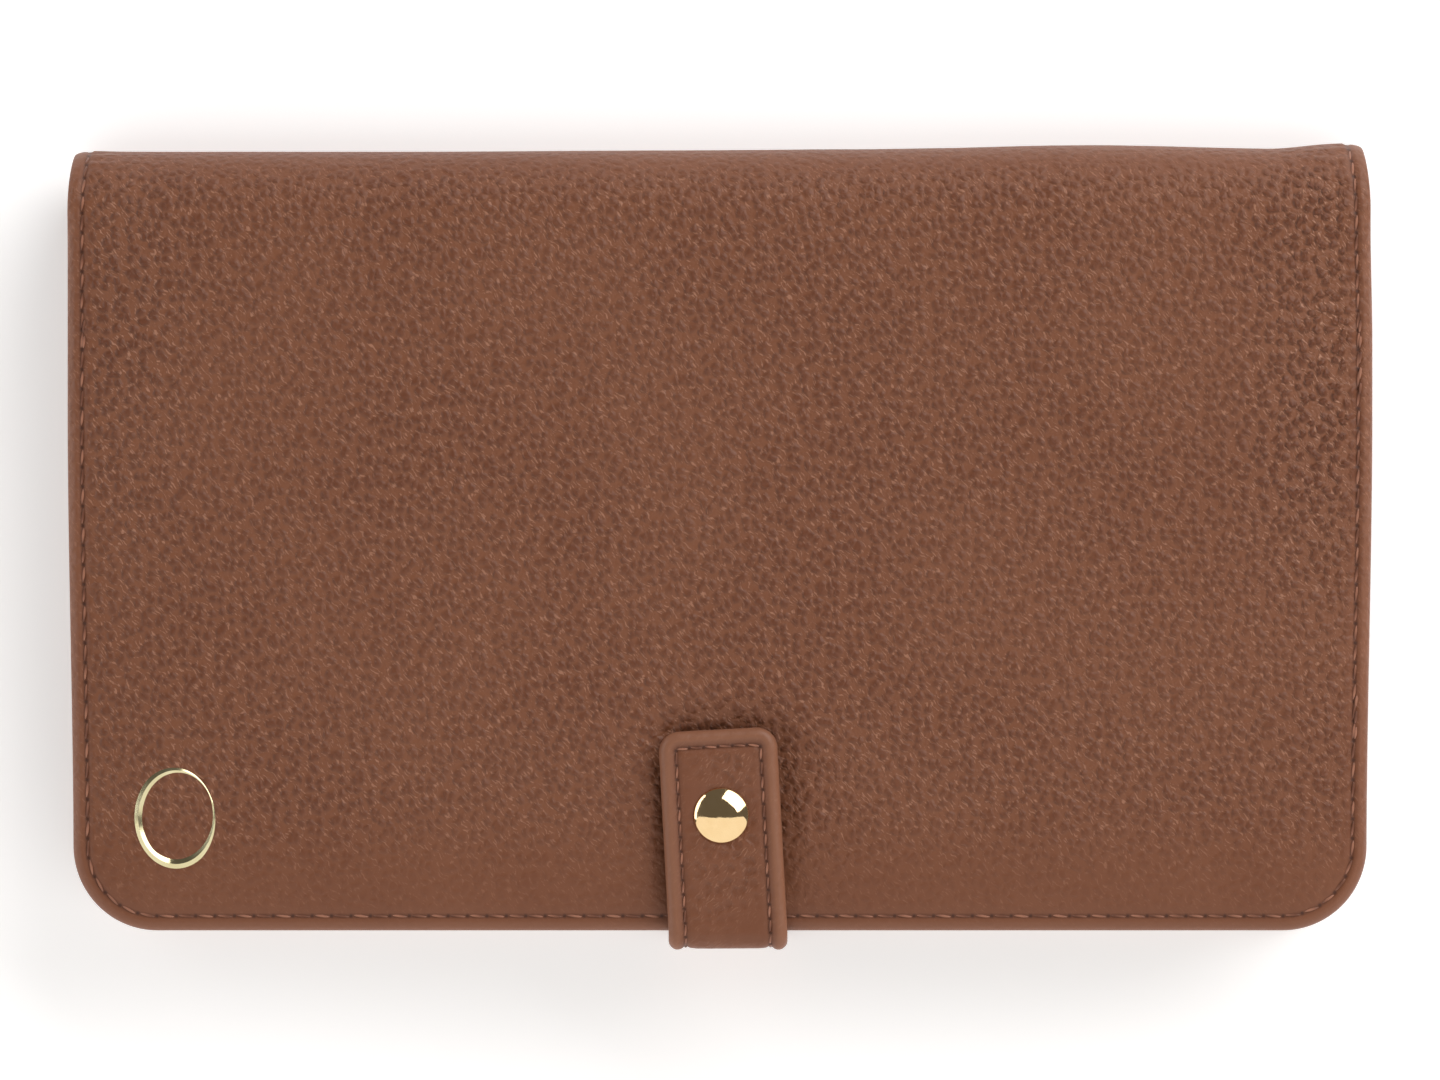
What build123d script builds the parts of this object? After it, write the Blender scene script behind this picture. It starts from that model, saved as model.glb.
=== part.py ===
from build123d import *
import os
from math import cos, pi, radians, sin, tan

# A long wallet that folds along its top edge and is held shut by a strap with a press snap.
# It lies on its back cover: X runs along its length, +Y points to the fold and +Z out through the
# front cover. The origin is the middle of the back cover's outer face. All sizes are millimetres.

# Covers
wallet_length = 200.0
wallet_depth = 120.0          # from the fold to the opening edge
corner_radius = 13.0          # the two corners of a cover at the opening edge
edge_roll = 2.2               # rounding where the leather turns over the rim
leather = 1.2
foam = 1.2
board = 0.8
lining = 0.6
lining_inset = 1.0            # the lining stops this far short of the rim
thread_width = 0.5
thread_depth = 0.3            # the thread lies flush in a groove of this depth
seam_beyond_roll = 0.1        # the seam runs this far inside the rolled rim

# Fold
spine_cut = 5.0               # degrees that the spine leather stops short of each cover
lining_cut = 15.0             # the same for the spine's lining

# Pockets
sheet = 0.6                   # pocket leather
panel = 0.8                   # the coin pocket's face
note_sheet = 0.7
note_gap = 0.3
pocket_gap = 0.25             # an empty card pocket
window_gap = 0.6              # the identity card's pocket, with its film
lip = 3.0                     # width of the sewn margin round a pocket
side_clear = 2.5              # from the rim to the pockets
fold_clear = 0.8              # from the fold to the pockets
column_gap = 1.0
card_rows = 4
first_mouth = 15.0            # from the opening edge to the first card pocket's mouth
row_step = 11.0
card_depth = 50.0             # how deep a card goes in
note_mouth = 8.0              # from the opening edge to the front note pocket's mouth
notch_radius = 9.0            # thumb notch in the slip pocket

# Coin pocket with its zip
coin_wall = 0.4
coin_space = 1.7
wall_clear = 0.2
zip_from_fold = 9.5           # from the fold to the middle of the zip
zip_window = 9.0
zip_side = 14.0               # from the rim to the end of the rows
tape = 0.4
tape_under = 3.0              # how far a tape runs under the panel
row_width = 0.85
row_height = 1.6
row_slit = 0.9                # between the two rows
stop_length = 1.5
slider_length = 8.0
slider_side = 0.8             # between the slider and the leather beside it
slider_wall = 0.6
slider_clear = 0.1
slider_from_end = 6.0         # from the end of the rows to the slider when shut
bail_height = 1.4
bail_bar = 0.5
bail_clear = 0.5              # lets the pull swing to both sides
bail_width = 1.0
pull_length = 20.0
pull_width = 4.8
pull = 0.6
pull_eye = 3.0
pull_bar = 0.8

# Identity window and slip pocket, both on the coin pocket's face
face_pocket_mouth = 58.0      # from the pocket's closed end to its mouth
window_side = 6.8             # from the window to the pocket's sides
window_end = 8.0              # and to its mouth and its closed end
film = 0.25
film_overlap = 3.0

# Room left between the two halves when shut
halves_gap = 1.9

# Strap
strap_width = 18.2
strap_leather = 1.1
strap_lining = 0.9
strap_reach = 33.2            # from the strap's outer face at the edge to its free end
strap_corner = 3.2
strap_middle = 1.25           # X of the strap where it leaves the cover
strap_skew = 3.1              # degrees that the strap leans to -X
strap_edge_gap = 0.5          # between the covers' edge and the strap
strap_lift = 1.6              # the strap lies this far above the front cover
strap_seam = 2.6              # from the strap's side to its seam
tail_length = 24.0
hinge_clear = 0.15
slot_clear = 0.15

# Snap
snap_from_edge = 17.8
cap_radius = 4.2
cap_rise = 1.6
cap_rim = 0.25
shank_radius = 1.0
socket_radius = 4.0
socket_wall = 0.7
socket_flange = 0.5
socket_drop = 0.4
stud_radius = 1.9
snap_clear = 0.3              # between the stud and the socket's bore
stud_end_clear = 0.1
stud_flange_radius = 3.6
stud_flange = 0.5
post_radius = 4.0
post_head = 0.4
rivet_clear = 0.05

# Emblem: a plain oval ring with two pins through the cover
emblem_from_side = 16.6        # from the rim to its middle
emblem_from_edge = 17.5
emblem_width = 12.8
emblem_height = 15.8
emblem_line = 1.2
emblem_rise = 0.9
emblem_chamfer = 0.25
pin_radius = 0.5
pin_washer = 1.8
washer = 0.3

# Places that follow from the sizes above
half_length = wallet_length / 2
edge_y = -wallet_depth / 2
core = foam + board
shell = leather + core + lining
strap = strap_leather + strap_lining
seam_inset = edge_roll + seam_beyond_roll

note_top = shell + note_gap + note_sheet
coin_floor = note_top + wall_clear + coin_wall
panel_under = coin_floor + coin_space
panel_top = panel_under + panel
rows_z = panel_under - row_height / 2
wing_z = rows_z + row_height + slider_clear
bail_top = wing_z + slider_wall + bail_height
card_top = note_top + card_rows * (pocket_gap + sheet)
closed_thickness = bail_top + halves_gap + card_top

fold_radius = closed_thickness / 2
fold_y = wallet_depth / 2 - fold_radius
pocket_end = fold_y - fold_clear
zip_y = fold_y - zip_from_fold
rows_end = half_length - zip_side
slider_x = rows_end - slider_from_end
slider_width = zip_window - 2 * slider_side

# The leather of the fold unrolls at its own length when each half of it turns about these lines
hinge_y = fold_y + fold_radius * pi / 4
hinge_low_z = fold_radius * (1 - pi / 4)
hinge_high_z = closed_thickness - hinge_low_z

strap_y = edge_y - strap_edge_gap - strap / 2
tail_z = leather + core / 2
tip_z = closed_thickness + strap_lift + strap / 2
snap_y = edge_y + snap_from_edge
socket_bore = stud_radius + snap_clear
socket_hub = socket_bore + socket_wall
snap_x = strap_middle - tan(radians(strap_skew)) * (snap_y - strap_y)
cross_width = strap_width / cos(radians(strap_skew))

emblem_x = emblem_from_side - half_length
emblem_y = edge_y + emblem_from_edge

AT_FACE = 0.01                # tells edges on a face from the others


def block(x, y, z):
    """A box between pairs of limits."""
    middle = [(low + high) / 2 for low, high in (x, y, z)]
    return Pos(*middle) * Box(*[high - low for low, high in (x, y, z)])


def disc(x, y, z, radius):
    """An upright cylinder between two heights."""
    return Pos(x, y, (z[0] + z[1]) / 2) * Cylinder(radius, z[1] - z[0])


def bar_along_x(x, y, z, radius):
    """A round bar along X."""
    return Pos((x[0] + x[1]) / 2, y, z) * Rot(0, 90, 0) * Cylinder(radius, x[1] - x[0])


def to_front(shape):
    """Turns a piece of a cover built outside down into its place in the front cover."""
    return mirror(shape, about=Plane.XY.offset(closed_thickness / 2))


# Covers, built with their outer face at Z 0


def cover_outline(inset):
    """A cover's outline, inset on its three free sides and straight at the fold."""
    low = edge_y + inset
    outline = Pos(0, (low + fold_y) / 2) * Rectangle(wallet_length - 2 * inset, fold_y - low)
    return fillet(outline.vertices().sort_by(Axis.Y)[:2], corner_radius - inset)


def rolled_slab(inset, thickness, roll):
    """A slab of the cover's outline whose outer rim is rounded."""
    slab = extrude(cover_outline(inset), thickness)
    rim = [e for e in slab.edges().group_by(Axis.Z)[0] if e.center().Y < fold_y - AT_FACE]
    return fillet(rim, roll)


def edge_thread():
    """The seam's thread, flush with the outer face."""
    line = cover_outline(seam_inset) - cover_outline(seam_inset + thread_width)
    return extrude(line, thread_depth)


def cover_core():
    """The space in the leather that the foam and the board fill."""
    return Pos(0, 0, leather) * rolled_slab(leather, core, edge_roll - leather)


def cover_leather():
    """The leather, turned up round the rim."""
    return rolled_slab(0, leather + core, edge_roll) - cover_core() - edge_thread()


def core_layer(low, high):
    """The part of the core between two heights."""
    reach = wallet_length
    return cover_core() & block((-reach, reach), (-reach, reach), (low, high))


def cover_foam():
    return core_layer(leather, leather + foam)


def cover_board():
    return core_layer(leather + foam, leather + core)


def cover_lining():
    return Pos(0, 0, leather + core) * extrude(cover_outline(lining_inset), lining)


# Fold


def arc_sheet(radius, thickness, cut, length):
    """A curved sheet along X, bent round the fold's middle line, short of each cover by an angle."""
    half_turn = 90.0 - cut
    outer = CenterArc((0, 0), radius, -half_turn, 2 * half_turn)
    inner = CenterArc((0, 0), radius - thickness, -half_turn, 2 * half_turn)
    ends = [Line(outer @ 0, inner @ 0), Line(outer @ 1, inner @ 1)]
    section = make_face(Curve() + [outer, ends[0], inner, ends[1]])
    middle = Plane((-length / 2, fold_y, fold_radius), x_dir=(0, 1, 0), z_dir=(1, 0, 0))
    return extrude(middle * section, length)


def spine_leather():
    return arc_sheet(fold_radius, leather, spine_cut, wallet_length)


def spine_lining():
    length = wallet_length - 2 * lining_inset
    return arc_sheet(fold_radius - leather, lining, lining_cut, length)


# Pockets


def pocket(x, y, base, gap, thickness, mouth):
    """A pocket sheet over a gap, with margins on three sides that rest on what is below.
    mouth is 1 where the pocket opens towards the fold and -1 where it opens away from it."""
    piece = block(x, y, (base, base + gap + thickness))
    reach = (y[0] + lip, y[1] + lip) if mouth > 0 else (y[0] - lip, y[1] - lip)
    return piece - block((x[0] + lip, x[1] - lip), reach, (base, base + gap))


def column(side):
    """The limits in X of the left (-1) or right (1) column of pockets."""
    near, far = column_gap / 2, half_length - side_clear - lip / 2
    return (near, far) if side > 0 else (-far, -near)


def note_pocket(mouth):
    """The full-length pocket for notes."""
    x = (-half_length + side_clear, half_length - side_clear)
    y = (edge_y + side_clear, pocket_end) if mouth > 0 else (edge_y + note_mouth, pocket_end)
    flat = block(x, y, (0, closed_thickness)) & extrude(cover_outline(side_clear), closed_thickness)
    return pocket(x, y, shell, note_gap, note_sheet, mouth) & flat


def card_pocket(side, row):
    """One card pocket of the front half. Row 0 lies deepest and has its mouth nearest the edge."""
    start = edge_y + first_mouth + row * row_step
    end = pocket_end if row == card_rows - 1 else min(start + card_depth, pocket_end)
    base = note_top + row * (pocket_gap + sheet)
    return pocket(column(side), (start, end), base, pocket_gap, sheet, -1)


# Coin pocket


def coin_pocket_wall():
    """The coin pocket's lining against the note pocket."""
    reach = half_length - side_clear
    span = block((-reach, reach), (edge_y, pocket_end), (note_top + wall_clear, coin_floor))
    return span & extrude(cover_outline(side_clear + lip / 2), closed_thickness)


def coin_face(y):
    """The coin pocket's leather face between two places in Y, with margins down to its wall."""
    reach = half_length - side_clear - lip / 2
    whole = block((-reach, reach), (edge_y, pocket_end), (coin_floor, panel_top))
    room_x, room_y = reach - lip, (edge_y + side_clear + 2 * lip, pocket_end - lip)
    whole -= block((-room_x, room_x), room_y, (coin_floor, panel_under))
    rounded = extrude(cover_outline(side_clear + lip / 2), closed_thickness)
    window_x = (-rows_end - stop_length, rows_end + stop_length)
    window_y = (zip_y - zip_window / 2, zip_y + zip_window / 2)
    whole -= block(window_x, window_y, (0, closed_thickness))
    return whole & rounded & block((-reach, reach), y, (0, closed_thickness))


def coin_face_lower():
    """The face below the zip, and the strips at its ends."""
    return coin_face((edge_y, zip_y + zip_window / 2))


def coin_face_upper():
    """The strip between the zip and the fold."""
    return coin_face((zip_y + zip_window / 2, pocket_end))


def zip_tape(side):
    """The woven tape on one side of the zip, under the edge of the leather."""
    inner = row_slit / 2 + row_width
    outer = zip_window / 2 + tape_under if side < 0 else pocket_end - lip - zip_y
    y = sorted((zip_y + side * inner, zip_y + side * outer))
    return block((-rows_end, rows_end), y, (panel_under - tape, panel_under))


def zip_row(side):
    """One row of teeth as a plain bar."""
    y = sorted((zip_y + side * row_slit / 2, zip_y + side * (row_slit / 2 + row_width)))
    return block((-rows_end, rows_end), y, (rows_z, rows_z + row_height))


def zip_stops():
    """The stops at both ends of the rows."""
    across = row_slit / 2 + row_width
    y, z = (zip_y - across, zip_y + across), (rows_z, rows_z + row_height)
    start = block((-rows_end - stop_length, -rows_end), y, z)
    return start + block((rows_end, rows_end + stop_length), y, z)


def zip_slider():
    """Two wings joined by a web in the slit, with a bail on top."""
    x = (slider_x - slider_length / 2, slider_x + slider_length / 2)
    y = (zip_y - slider_width / 2, zip_y + slider_width / 2)
    low = (rows_z - slider_clear - slider_wall, rows_z - slider_clear)
    high = (wing_z, wing_z + slider_wall)
    wings = [fillet(block(x, y, z).edges().filter_by(Axis.Z), slider_width / 4) for z in (low, high)]
    web_half = row_slit / 2 - slider_clear
    web_x, web_y = (slider_x, slider_x + slider_length / 4), (zip_y - web_half, zip_y + web_half)
    web = block(web_x, web_y, (low[0], high[1]))
    bail_y = (zip_y - bail_width / 2, zip_y + bail_width / 2)
    reach = pull_bar / 2 + bail_clear + bail_bar
    bail = block((slider_x - reach, slider_x + reach), bail_y, (high[0], bail_top))
    room_x = (slider_x - reach + bail_bar, slider_x + reach - bail_bar)
    bail -= block(room_x, bail_y, (high[1], bail_top - bail_bar))
    return wings[0] + wings[1] + web + bail


def zip_pull():
    """The pull, lying over the rows with its end bar in the bail."""
    room = bail_height - bail_bar - pull
    z = wing_z + slider_wall + room / 2
    x = (slider_x - pull_length, slider_x + pull_bar / 2)
    half = pull_width / 2
    tab = block(x, (zip_y - half, zip_y + half), (z, z + pull))
    tab = fillet(tab.edges().filter_by(Axis.Z), half / 2)
    eye_x = (slider_x - pull_bar / 2 - pull_eye, slider_x - pull_bar / 2)
    return tab - block(eye_x, (zip_y - pull_eye / 2, zip_y + pull_eye / 2), (z, z + pull))


# Pockets on the coin pocket's face


def face_pocket_limits(side):
    """The limits in X and Y of the pocket on the left or right of the coin pocket's face."""
    near, far = sorted((abs(v) for v in column(side)))
    x = (near + lip, far - lip)
    low = edge_y + side_clear + lip
    return (x if side > 0 else (-x[1], -x[0])), (low, low + face_pocket_mouth)


def window_sketch(grow):
    """The identity window's opening, or the film when grown."""
    x, y = face_pocket_limits(-1)
    size = (x[1] - x[0] - 2 * (window_side - grow), y[1] - y[0] - 2 * (window_end - grow))
    return Pos(sum(x) / 2, sum(y) / 2) * RectangleRounded(*size, film_overlap)


def id_pocket():
    """The identity card's pocket, with its window cut out."""
    x, y = face_pocket_limits(-1)
    leather_face = pocket(x, y, panel_top, window_gap, sheet, 1)
    return leather_face - Pos(0, 0, panel_top) * extrude(window_sketch(0), window_gap + sheet)


def id_film():
    """The clear film behind the window."""
    return Pos(0, 0, panel_top + window_gap - film) * extrude(window_sketch(film_overlap), film)


def slip_pocket():
    """The open pocket beside the window, with a thumb notch in its mouth."""
    x, y = face_pocket_limits(1)
    notch = disc(sum(x) / 2, y[1], (panel_top, closed_thickness), notch_radius)
    return pocket(x, y, panel_top, window_gap, sheet, 1) - notch


# Strap


def strap_outline(inset):
    """The strap's free length seen from above, square to its lean and parallel to the cover's edge."""
    lean = radians(strap_skew)
    reach = strap_reach - strap / 2 - inset
    half = strap_width / 2 - inset
    middle = (strap_middle - reach * sin(lean), strap_y + reach * cos(lean))
    across = (half * cos(lean), half * sin(lean))
    points = [
        (strap_middle - half / cos(lean), strap_y),
        (strap_middle + half / cos(lean), strap_y),
        (middle[0] + across[0], middle[1] + across[1]),
        (middle[0] - across[0], middle[1] - across[1]),
    ]
    outline = make_face(Polyline(*points, close=True))
    return fillet(outline.vertices().sort_by(Axis.Y)[2:], max(strap_corner - inset, strap_corner / 4))


def strap_across():
    """The strap's limits in X where it crosses the edge."""
    return (strap_middle - cross_width / 2, strap_middle + cross_width / 2)


def strap_tip(z):
    """The strap's free length between two heights, with a round end at its bend."""
    whole = Pos(0, 0, tip_z - strap / 2) * extrude(strap_outline(0), strap)
    whole += bar_along_x(strap_across(), strap_y, tip_z, strap / 2)
    reach = wallet_length
    return whole & block((-reach, reach), (-reach, reach), z)


def strap_thread():
    """The strap's seam, flush with its leather."""
    line = strap_outline(strap_seam) - strap_outline(strap_seam + thread_width)
    top = tip_z + strap / 2
    return Pos(0, 0, top - thread_depth) * extrude(line, thread_depth)


def strap_tip_leather():
    z = (tip_z - strap / 2 + strap_lining, tip_z + strap)
    hole = disc(snap_x, snap_y, z, shank_radius + rivet_clear)
    return strap_tip(z) - strap_thread() - hole


def strap_tip_lining():
    low, high = tip_z - strap, tip_z - strap / 2 + strap_lining
    return strap_tip((low, high)) - disc(snap_x, snap_y, (low, high), socket_hub + rivet_clear)


def strap_bridge(y):
    """The strap's upright run outside the covers' edges, between two places in Y."""
    thickness = (strap_y - strap / 2, strap_y + strap / 2)
    whole = block(strap_across(), thickness, (tail_z, tip_z - strap / 2 - hinge_clear))
    whole += bar_along_x(strap_across(), strap_y, tail_z, strap / 2)
    return whole & block(strap_across(), y, (0, tip_z))


def strap_bridge_leather():
    return strap_bridge((strap_y - strap, strap_y - strap / 2 + strap_leather))


def strap_bridge_lining():
    return strap_bridge((strap_y - strap / 2 + strap_leather, strap_y + strap))


def strap_tail():
    """The strap's sewn-in end, pared to the thickness of the cover's core."""
    start = strap_y + strap / 2 + hinge_clear
    return block(strap_across(), (start, edge_y + tail_length), (leather, leather + core))


def tail_slot():
    """The room for the tail in the back cover."""
    x = (strap_across()[0] - slot_clear, strap_across()[1] + slot_clear)
    return block(x, (strap_y, edge_y + tail_length + slot_clear), (leather, leather + core))


# Snap


def snap_cap():
    """The domed cap on the strap, with its shank."""
    top = tip_z + strap / 2
    ball = (cap_radius**2 + cap_rise**2) / (2 * cap_rise)
    dome = Pos(snap_x, snap_y, top + cap_rim + cap_rise - ball) * Sphere(ball)
    dome &= disc(snap_x, snap_y, (top + cap_rim, top + cap_rim + cap_rise), cap_radius)
    hub_top = tip_z - strap / 2 + strap_lining
    rim = disc(snap_x, snap_y, (top, top + cap_rim), cap_radius)
    return dome + rim + disc(snap_x, snap_y, (hub_top, top), shank_radius)


def snap_socket():
    """The socket under the strap, with its bore facing the stud."""
    under = tip_z - strap / 2
    hub_top = under + strap_lining
    body = disc(snap_x, snap_y, (under - socket_flange, under), socket_radius)
    body += disc(snap_x, snap_y, (under - socket_flange, hub_top), socket_hub)
    body += disc(snap_x, snap_y, (under - socket_flange - socket_drop, under - socket_flange), socket_hub)
    bore = (under - socket_flange - socket_drop, hub_top - socket_drop)
    return body - disc(snap_x, snap_y, bore, socket_bore)


def snap_stud():
    """The stud on the front cover."""
    top = tip_z - strap / 2 + strap_lining - socket_drop - stud_end_clear
    base = disc(snap_x, snap_y, (closed_thickness, closed_thickness + stud_flange), stud_flange_radius)
    piece = base + disc(snap_x, snap_y, (closed_thickness, top), stud_radius)
    return fillet(piece.edges().group_by(Axis.Z)[-1], stud_radius / 4)


def snap_post():
    """The rivet that holds the stud, its head sunk in the board."""
    inner = closed_thickness - leather - core
    head = disc(snap_x, snap_y, (inner, inner + post_head), post_radius)
    return head + disc(snap_x, snap_y, (inner, closed_thickness), shank_radius)


def post_hole():
    """The room for the snap's rivet in the front cover."""
    inner = closed_thickness - leather - core
    head = disc(snap_x, snap_y, (inner, inner + post_head), post_radius + rivet_clear)
    return head + disc(snap_x, snap_y, (inner, closed_thickness), shank_radius + rivet_clear)


# Emblem


def emblem_pins(radius, low):
    """Two pins under the top and bottom of the ring, or their holes."""
    places = [emblem_y + side * (emblem_height - emblem_line) / 2 for side in (-1, 1)]
    pins = [disc(emblem_x, y, (low, closed_thickness), radius) for y in places]
    return pins[0] + pins[1]


def emblem_ring():
    """The oval ring on the front cover."""
    inside = (emblem_width / 2 - emblem_line, emblem_height / 2 - emblem_line)
    flat = Ellipse(emblem_width / 2, emblem_height / 2) - Ellipse(*inside)
    ring = Pos(emblem_x, emblem_y, closed_thickness) * extrude(flat, emblem_rise)
    ring = chamfer(ring.edges().group_by(Axis.Z)[-1], emblem_chamfer)
    return ring + emblem_pins(pin_radius, closed_thickness - leather - core + washer / 2)


def emblem_washers():
    """The washers that hold the pins, sunk in the board."""
    inner = closed_thickness - leather - core
    places = [emblem_y + side * (emblem_height - emblem_line) / 2 for side in (-1, 1)]
    rings = [disc(emblem_x, y, (inner, inner + washer), pin_washer) for y in places]
    return rings[0] + rings[1] - emblem_pins(pin_radius, inner)


def emblem_holes():
    """The holes for the pins and their washers in the front cover."""
    inner = closed_thickness - leather - core
    return emblem_pins(pin_radius + rivet_clear, inner) + washer_recess(inner)


def washer_recess(inner):
    """The sunk seats of the two washers."""
    places = [emblem_y + side * (emblem_height - emblem_line) / 2 for side in (-1, 1)]
    seats = [disc(emblem_x, y, (inner, inner + washer), pin_washer + rivet_clear) for y in places]
    return seats[0] + seats[1]


def front_holes():
    return post_hole() + emblem_holes()


def all_parts():
    """Every piece by name."""
    parts = {
        "back_cover_leather": cover_leather() - tail_slot(),
        "back_foam": cover_foam() - tail_slot(),
        "back_board": cover_board() - tail_slot(),
        "back_lining": cover_lining(),
        "back_edge_thread": edge_thread(),
        "front_cover_leather": to_front(cover_leather()) - front_holes(),
        "front_foam": to_front(cover_foam()) - front_holes(),
        "front_board": to_front(cover_board()) - front_holes(),
        "front_lining": to_front(cover_lining()),
        "front_edge_thread": to_front(edge_thread()),
        "spine_leather": spine_leather(),
        "spine_lining": spine_lining(),
        "back_note_pocket": note_pocket(1),
        "front_note_pocket": to_front(note_pocket(-1)),
        "coin_pocket_wall": coin_pocket_wall(),
        "coin_pocket_face": coin_face_lower(),
        "coin_pocket_top_strip": coin_face_upper(),
        "zip_tape_lower": zip_tape(-1),
        "zip_tape_upper": zip_tape(1),
        "zip_teeth_lower": zip_row(-1),
        "zip_teeth_upper": zip_row(1),
        "zip_stops": zip_stops(),
        "zip_slider": zip_slider(),
        "zip_pull_tab": zip_pull(),
        "id_window_pocket": id_pocket(),
        "id_window_film": id_film(),
        "slip_pocket": slip_pocket(),
        "strap_tail": strap_tail(),
        "strap_bridge_leather": strap_bridge_leather(),
        "strap_bridge_lining": strap_bridge_lining(),
        "strap_tip_leather": strap_tip_leather(),
        "strap_tip_lining": strap_tip_lining(),
        "strap_thread": strap_thread(),
        "snap_cap": snap_cap(),
        "snap_socket": snap_socket(),
        "snap_stud": snap_stud(),
        "snap_post": snap_post(),
        "emblem_ring": emblem_ring(),
        "emblem_washers": emblem_washers(),
    }
    for side, name in ((-1, "left"), (1, "right")):
        for row in range(card_rows):
            parts[f"card_pocket_{name}_{row + 1}"] = to_front(card_pocket(side, row))
    return parts


os.makedirs("parts", exist_ok=True)
for node, shape in all_parts().items():
    export_step(shape, f"parts/{node}.step")
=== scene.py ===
from functools import partial
from math import atan2, cos, exp, hypot, pi, radians, sin

import bmesh
import bpy
from mathutils import Matrix, Vector, noise


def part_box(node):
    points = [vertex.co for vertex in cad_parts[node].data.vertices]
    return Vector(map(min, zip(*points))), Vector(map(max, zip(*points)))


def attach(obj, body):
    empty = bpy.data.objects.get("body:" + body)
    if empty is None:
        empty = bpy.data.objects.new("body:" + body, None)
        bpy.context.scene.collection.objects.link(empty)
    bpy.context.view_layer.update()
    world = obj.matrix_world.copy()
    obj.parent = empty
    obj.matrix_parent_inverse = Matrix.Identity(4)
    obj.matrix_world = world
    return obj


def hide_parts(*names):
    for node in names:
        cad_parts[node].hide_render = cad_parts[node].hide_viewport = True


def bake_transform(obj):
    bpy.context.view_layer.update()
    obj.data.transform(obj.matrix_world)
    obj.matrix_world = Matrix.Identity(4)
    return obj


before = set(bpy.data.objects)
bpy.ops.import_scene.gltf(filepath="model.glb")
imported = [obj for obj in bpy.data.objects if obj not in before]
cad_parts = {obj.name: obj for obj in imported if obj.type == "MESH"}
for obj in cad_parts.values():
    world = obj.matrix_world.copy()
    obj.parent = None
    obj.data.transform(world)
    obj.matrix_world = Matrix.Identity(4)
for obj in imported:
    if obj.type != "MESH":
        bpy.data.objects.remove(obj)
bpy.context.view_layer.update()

mm = 0.001


# Studio: a pale floor under the closed wallet, which lies on its back cover, and a camera on a long
# lens looking straight down at it. One wide bank stands towards the strap, a smaller window the other way.

shot_width = 221 * mm
camera_height = 1.6
sensor = 36.0
wallet_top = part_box("front_cover_leather")[1].z

camera_data = bpy.data.cameras.new("camera")
camera_data.sensor_width = sensor
camera_data.lens = sensor * camera_height / shot_width
camera_data.clip_end = 20
camera = bpy.data.objects.new("camera", camera_data)
camera.location = (0, 0, wallet_top + camera_height)
bpy.context.collection.objects.link(camera)
bpy.context.scene.camera = camera
bpy.context.scene.view_settings.view_transform = "Standard"


def linear(colour):
    """An sRGB hex colour as linear red, green, blue and alpha."""
    parts = [int(colour[i : i + 2], 16) / 255 for i in (0, 2, 4)]
    return [c / 12.92 if c <= 0.04045 else ((c + 0.055) / 1.055) ** 2.4 for c in parts] + [1]


def node(tree, kind, settings={}, **links):
    """Adds a shader node, sets its properties and values, and links its inputs. An input is named by its
    label with _ for a space, or by its number as in _0. A node given to one means its first output."""
    made = tree.nodes.new("ShaderNode" + kind)
    for name, value in settings.items():
        setattr(made, name, value)
    for name, value in links.items():
        socket = made.inputs[int(name[1:])] if name[0] == "_" else made.inputs[name.replace("_", " ")]
        if isinstance(value, bpy.types.Node):
            value = value.outputs[0]
        if isinstance(value, bpy.types.NodeSocket):
            tree.links.new(value, socket)
        else:
            socket.default_value = value
    return made


def material(name):
    """A new material and its shader tree, emptied but for its output."""
    made = bpy.data.materials.new(name)
    made.use_nodes = True
    made.node_tree.nodes.clear()
    return made, made.node_tree


def finish_material(made, tree, **shader):
    """Gives a material a Principled shader with these inputs."""
    surface = node(tree, "BsdfPrincipled", **shader)
    node(tree, "OutputMaterial", Surface=surface)
    return made


def place_mesh(name, bm, made):
    """Makes an object from a bmesh, shaded smooth except at its corners."""
    corner_angle = radians(50)
    for edge in bm.edges:
        edge.smooth = edge.calc_face_angle(0) < corner_angle
    for face in bm.faces:
        face.smooth = True
    mesh = bpy.data.meshes.new(name)
    bm.to_mesh(mesh)
    bm.free()
    piece = bpy.data.objects.new(name, mesh)
    bpy.context.collection.objects.link(piece)
    mesh.materials.append(made)
    return piece


# Floor: matt white acrylic of a product table, lit evenly from below so that shadows on it are faint.
table_top, tree = material("lit_white_acrylic")
matting = node(tree, "TexNoise", Scale=900.0, Detail=2.0)
matt_bump = node(tree, "Bump", Height=matting, Distance=0.02 * mm, Strength=0.3)
finish_material(
    table_top, tree, Base_Color=linear("fbfafa"), Roughness=0.9, Emission_Color=linear("ffffff"),
    Emission_Strength=0.3, Normal=matt_bump,
)
bm = bmesh.new()
bmesh.ops.create_grid(bm, x_segments=2, y_segments=2, size=4)
bmesh.ops.translate(bm, verts=bm.verts[:], vec=(0, 0, -0.1 * mm))
place_mesh("floor", bm, table_top)

world = bpy.data.worlds.new("studio")
world.use_nodes = True
world.node_tree.nodes["Background"].inputs[0].default_value = linear("f2ece6")
world.node_tree.nodes["Background"].inputs[1].default_value = 0.15
bpy.context.scene.world = world

for name, place, size, power, tint in (
    ("strap_side_bank", (0, -1.125, 0.925), (8.0, 2.7), 68, "fffdfa"),
    ("far_window", (0.72, 0.78, 0.62), (1.3, 1.0), 15, "ffffff"),
    ("left_strip", (-1.3, 0.45, 0.3), (1.6, 0.5), 7, "fbfcff"),
):
    lamp = bpy.data.lights.new(name, "AREA")
    lamp.shape = "RECTANGLE"
    lamp.size, lamp.size_y = size
    lamp.energy = power
    lamp.color = linear(tint)[:3]
    stand = bpy.data.objects.new(name, lamp)
    aim = Vector(place).to_track_quat("Z", "Y").to_matrix().to_4x4()
    stand.matrix_world = Matrix.Translation(place) @ aim
    bpy.context.collection.objects.link(stand)


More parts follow.
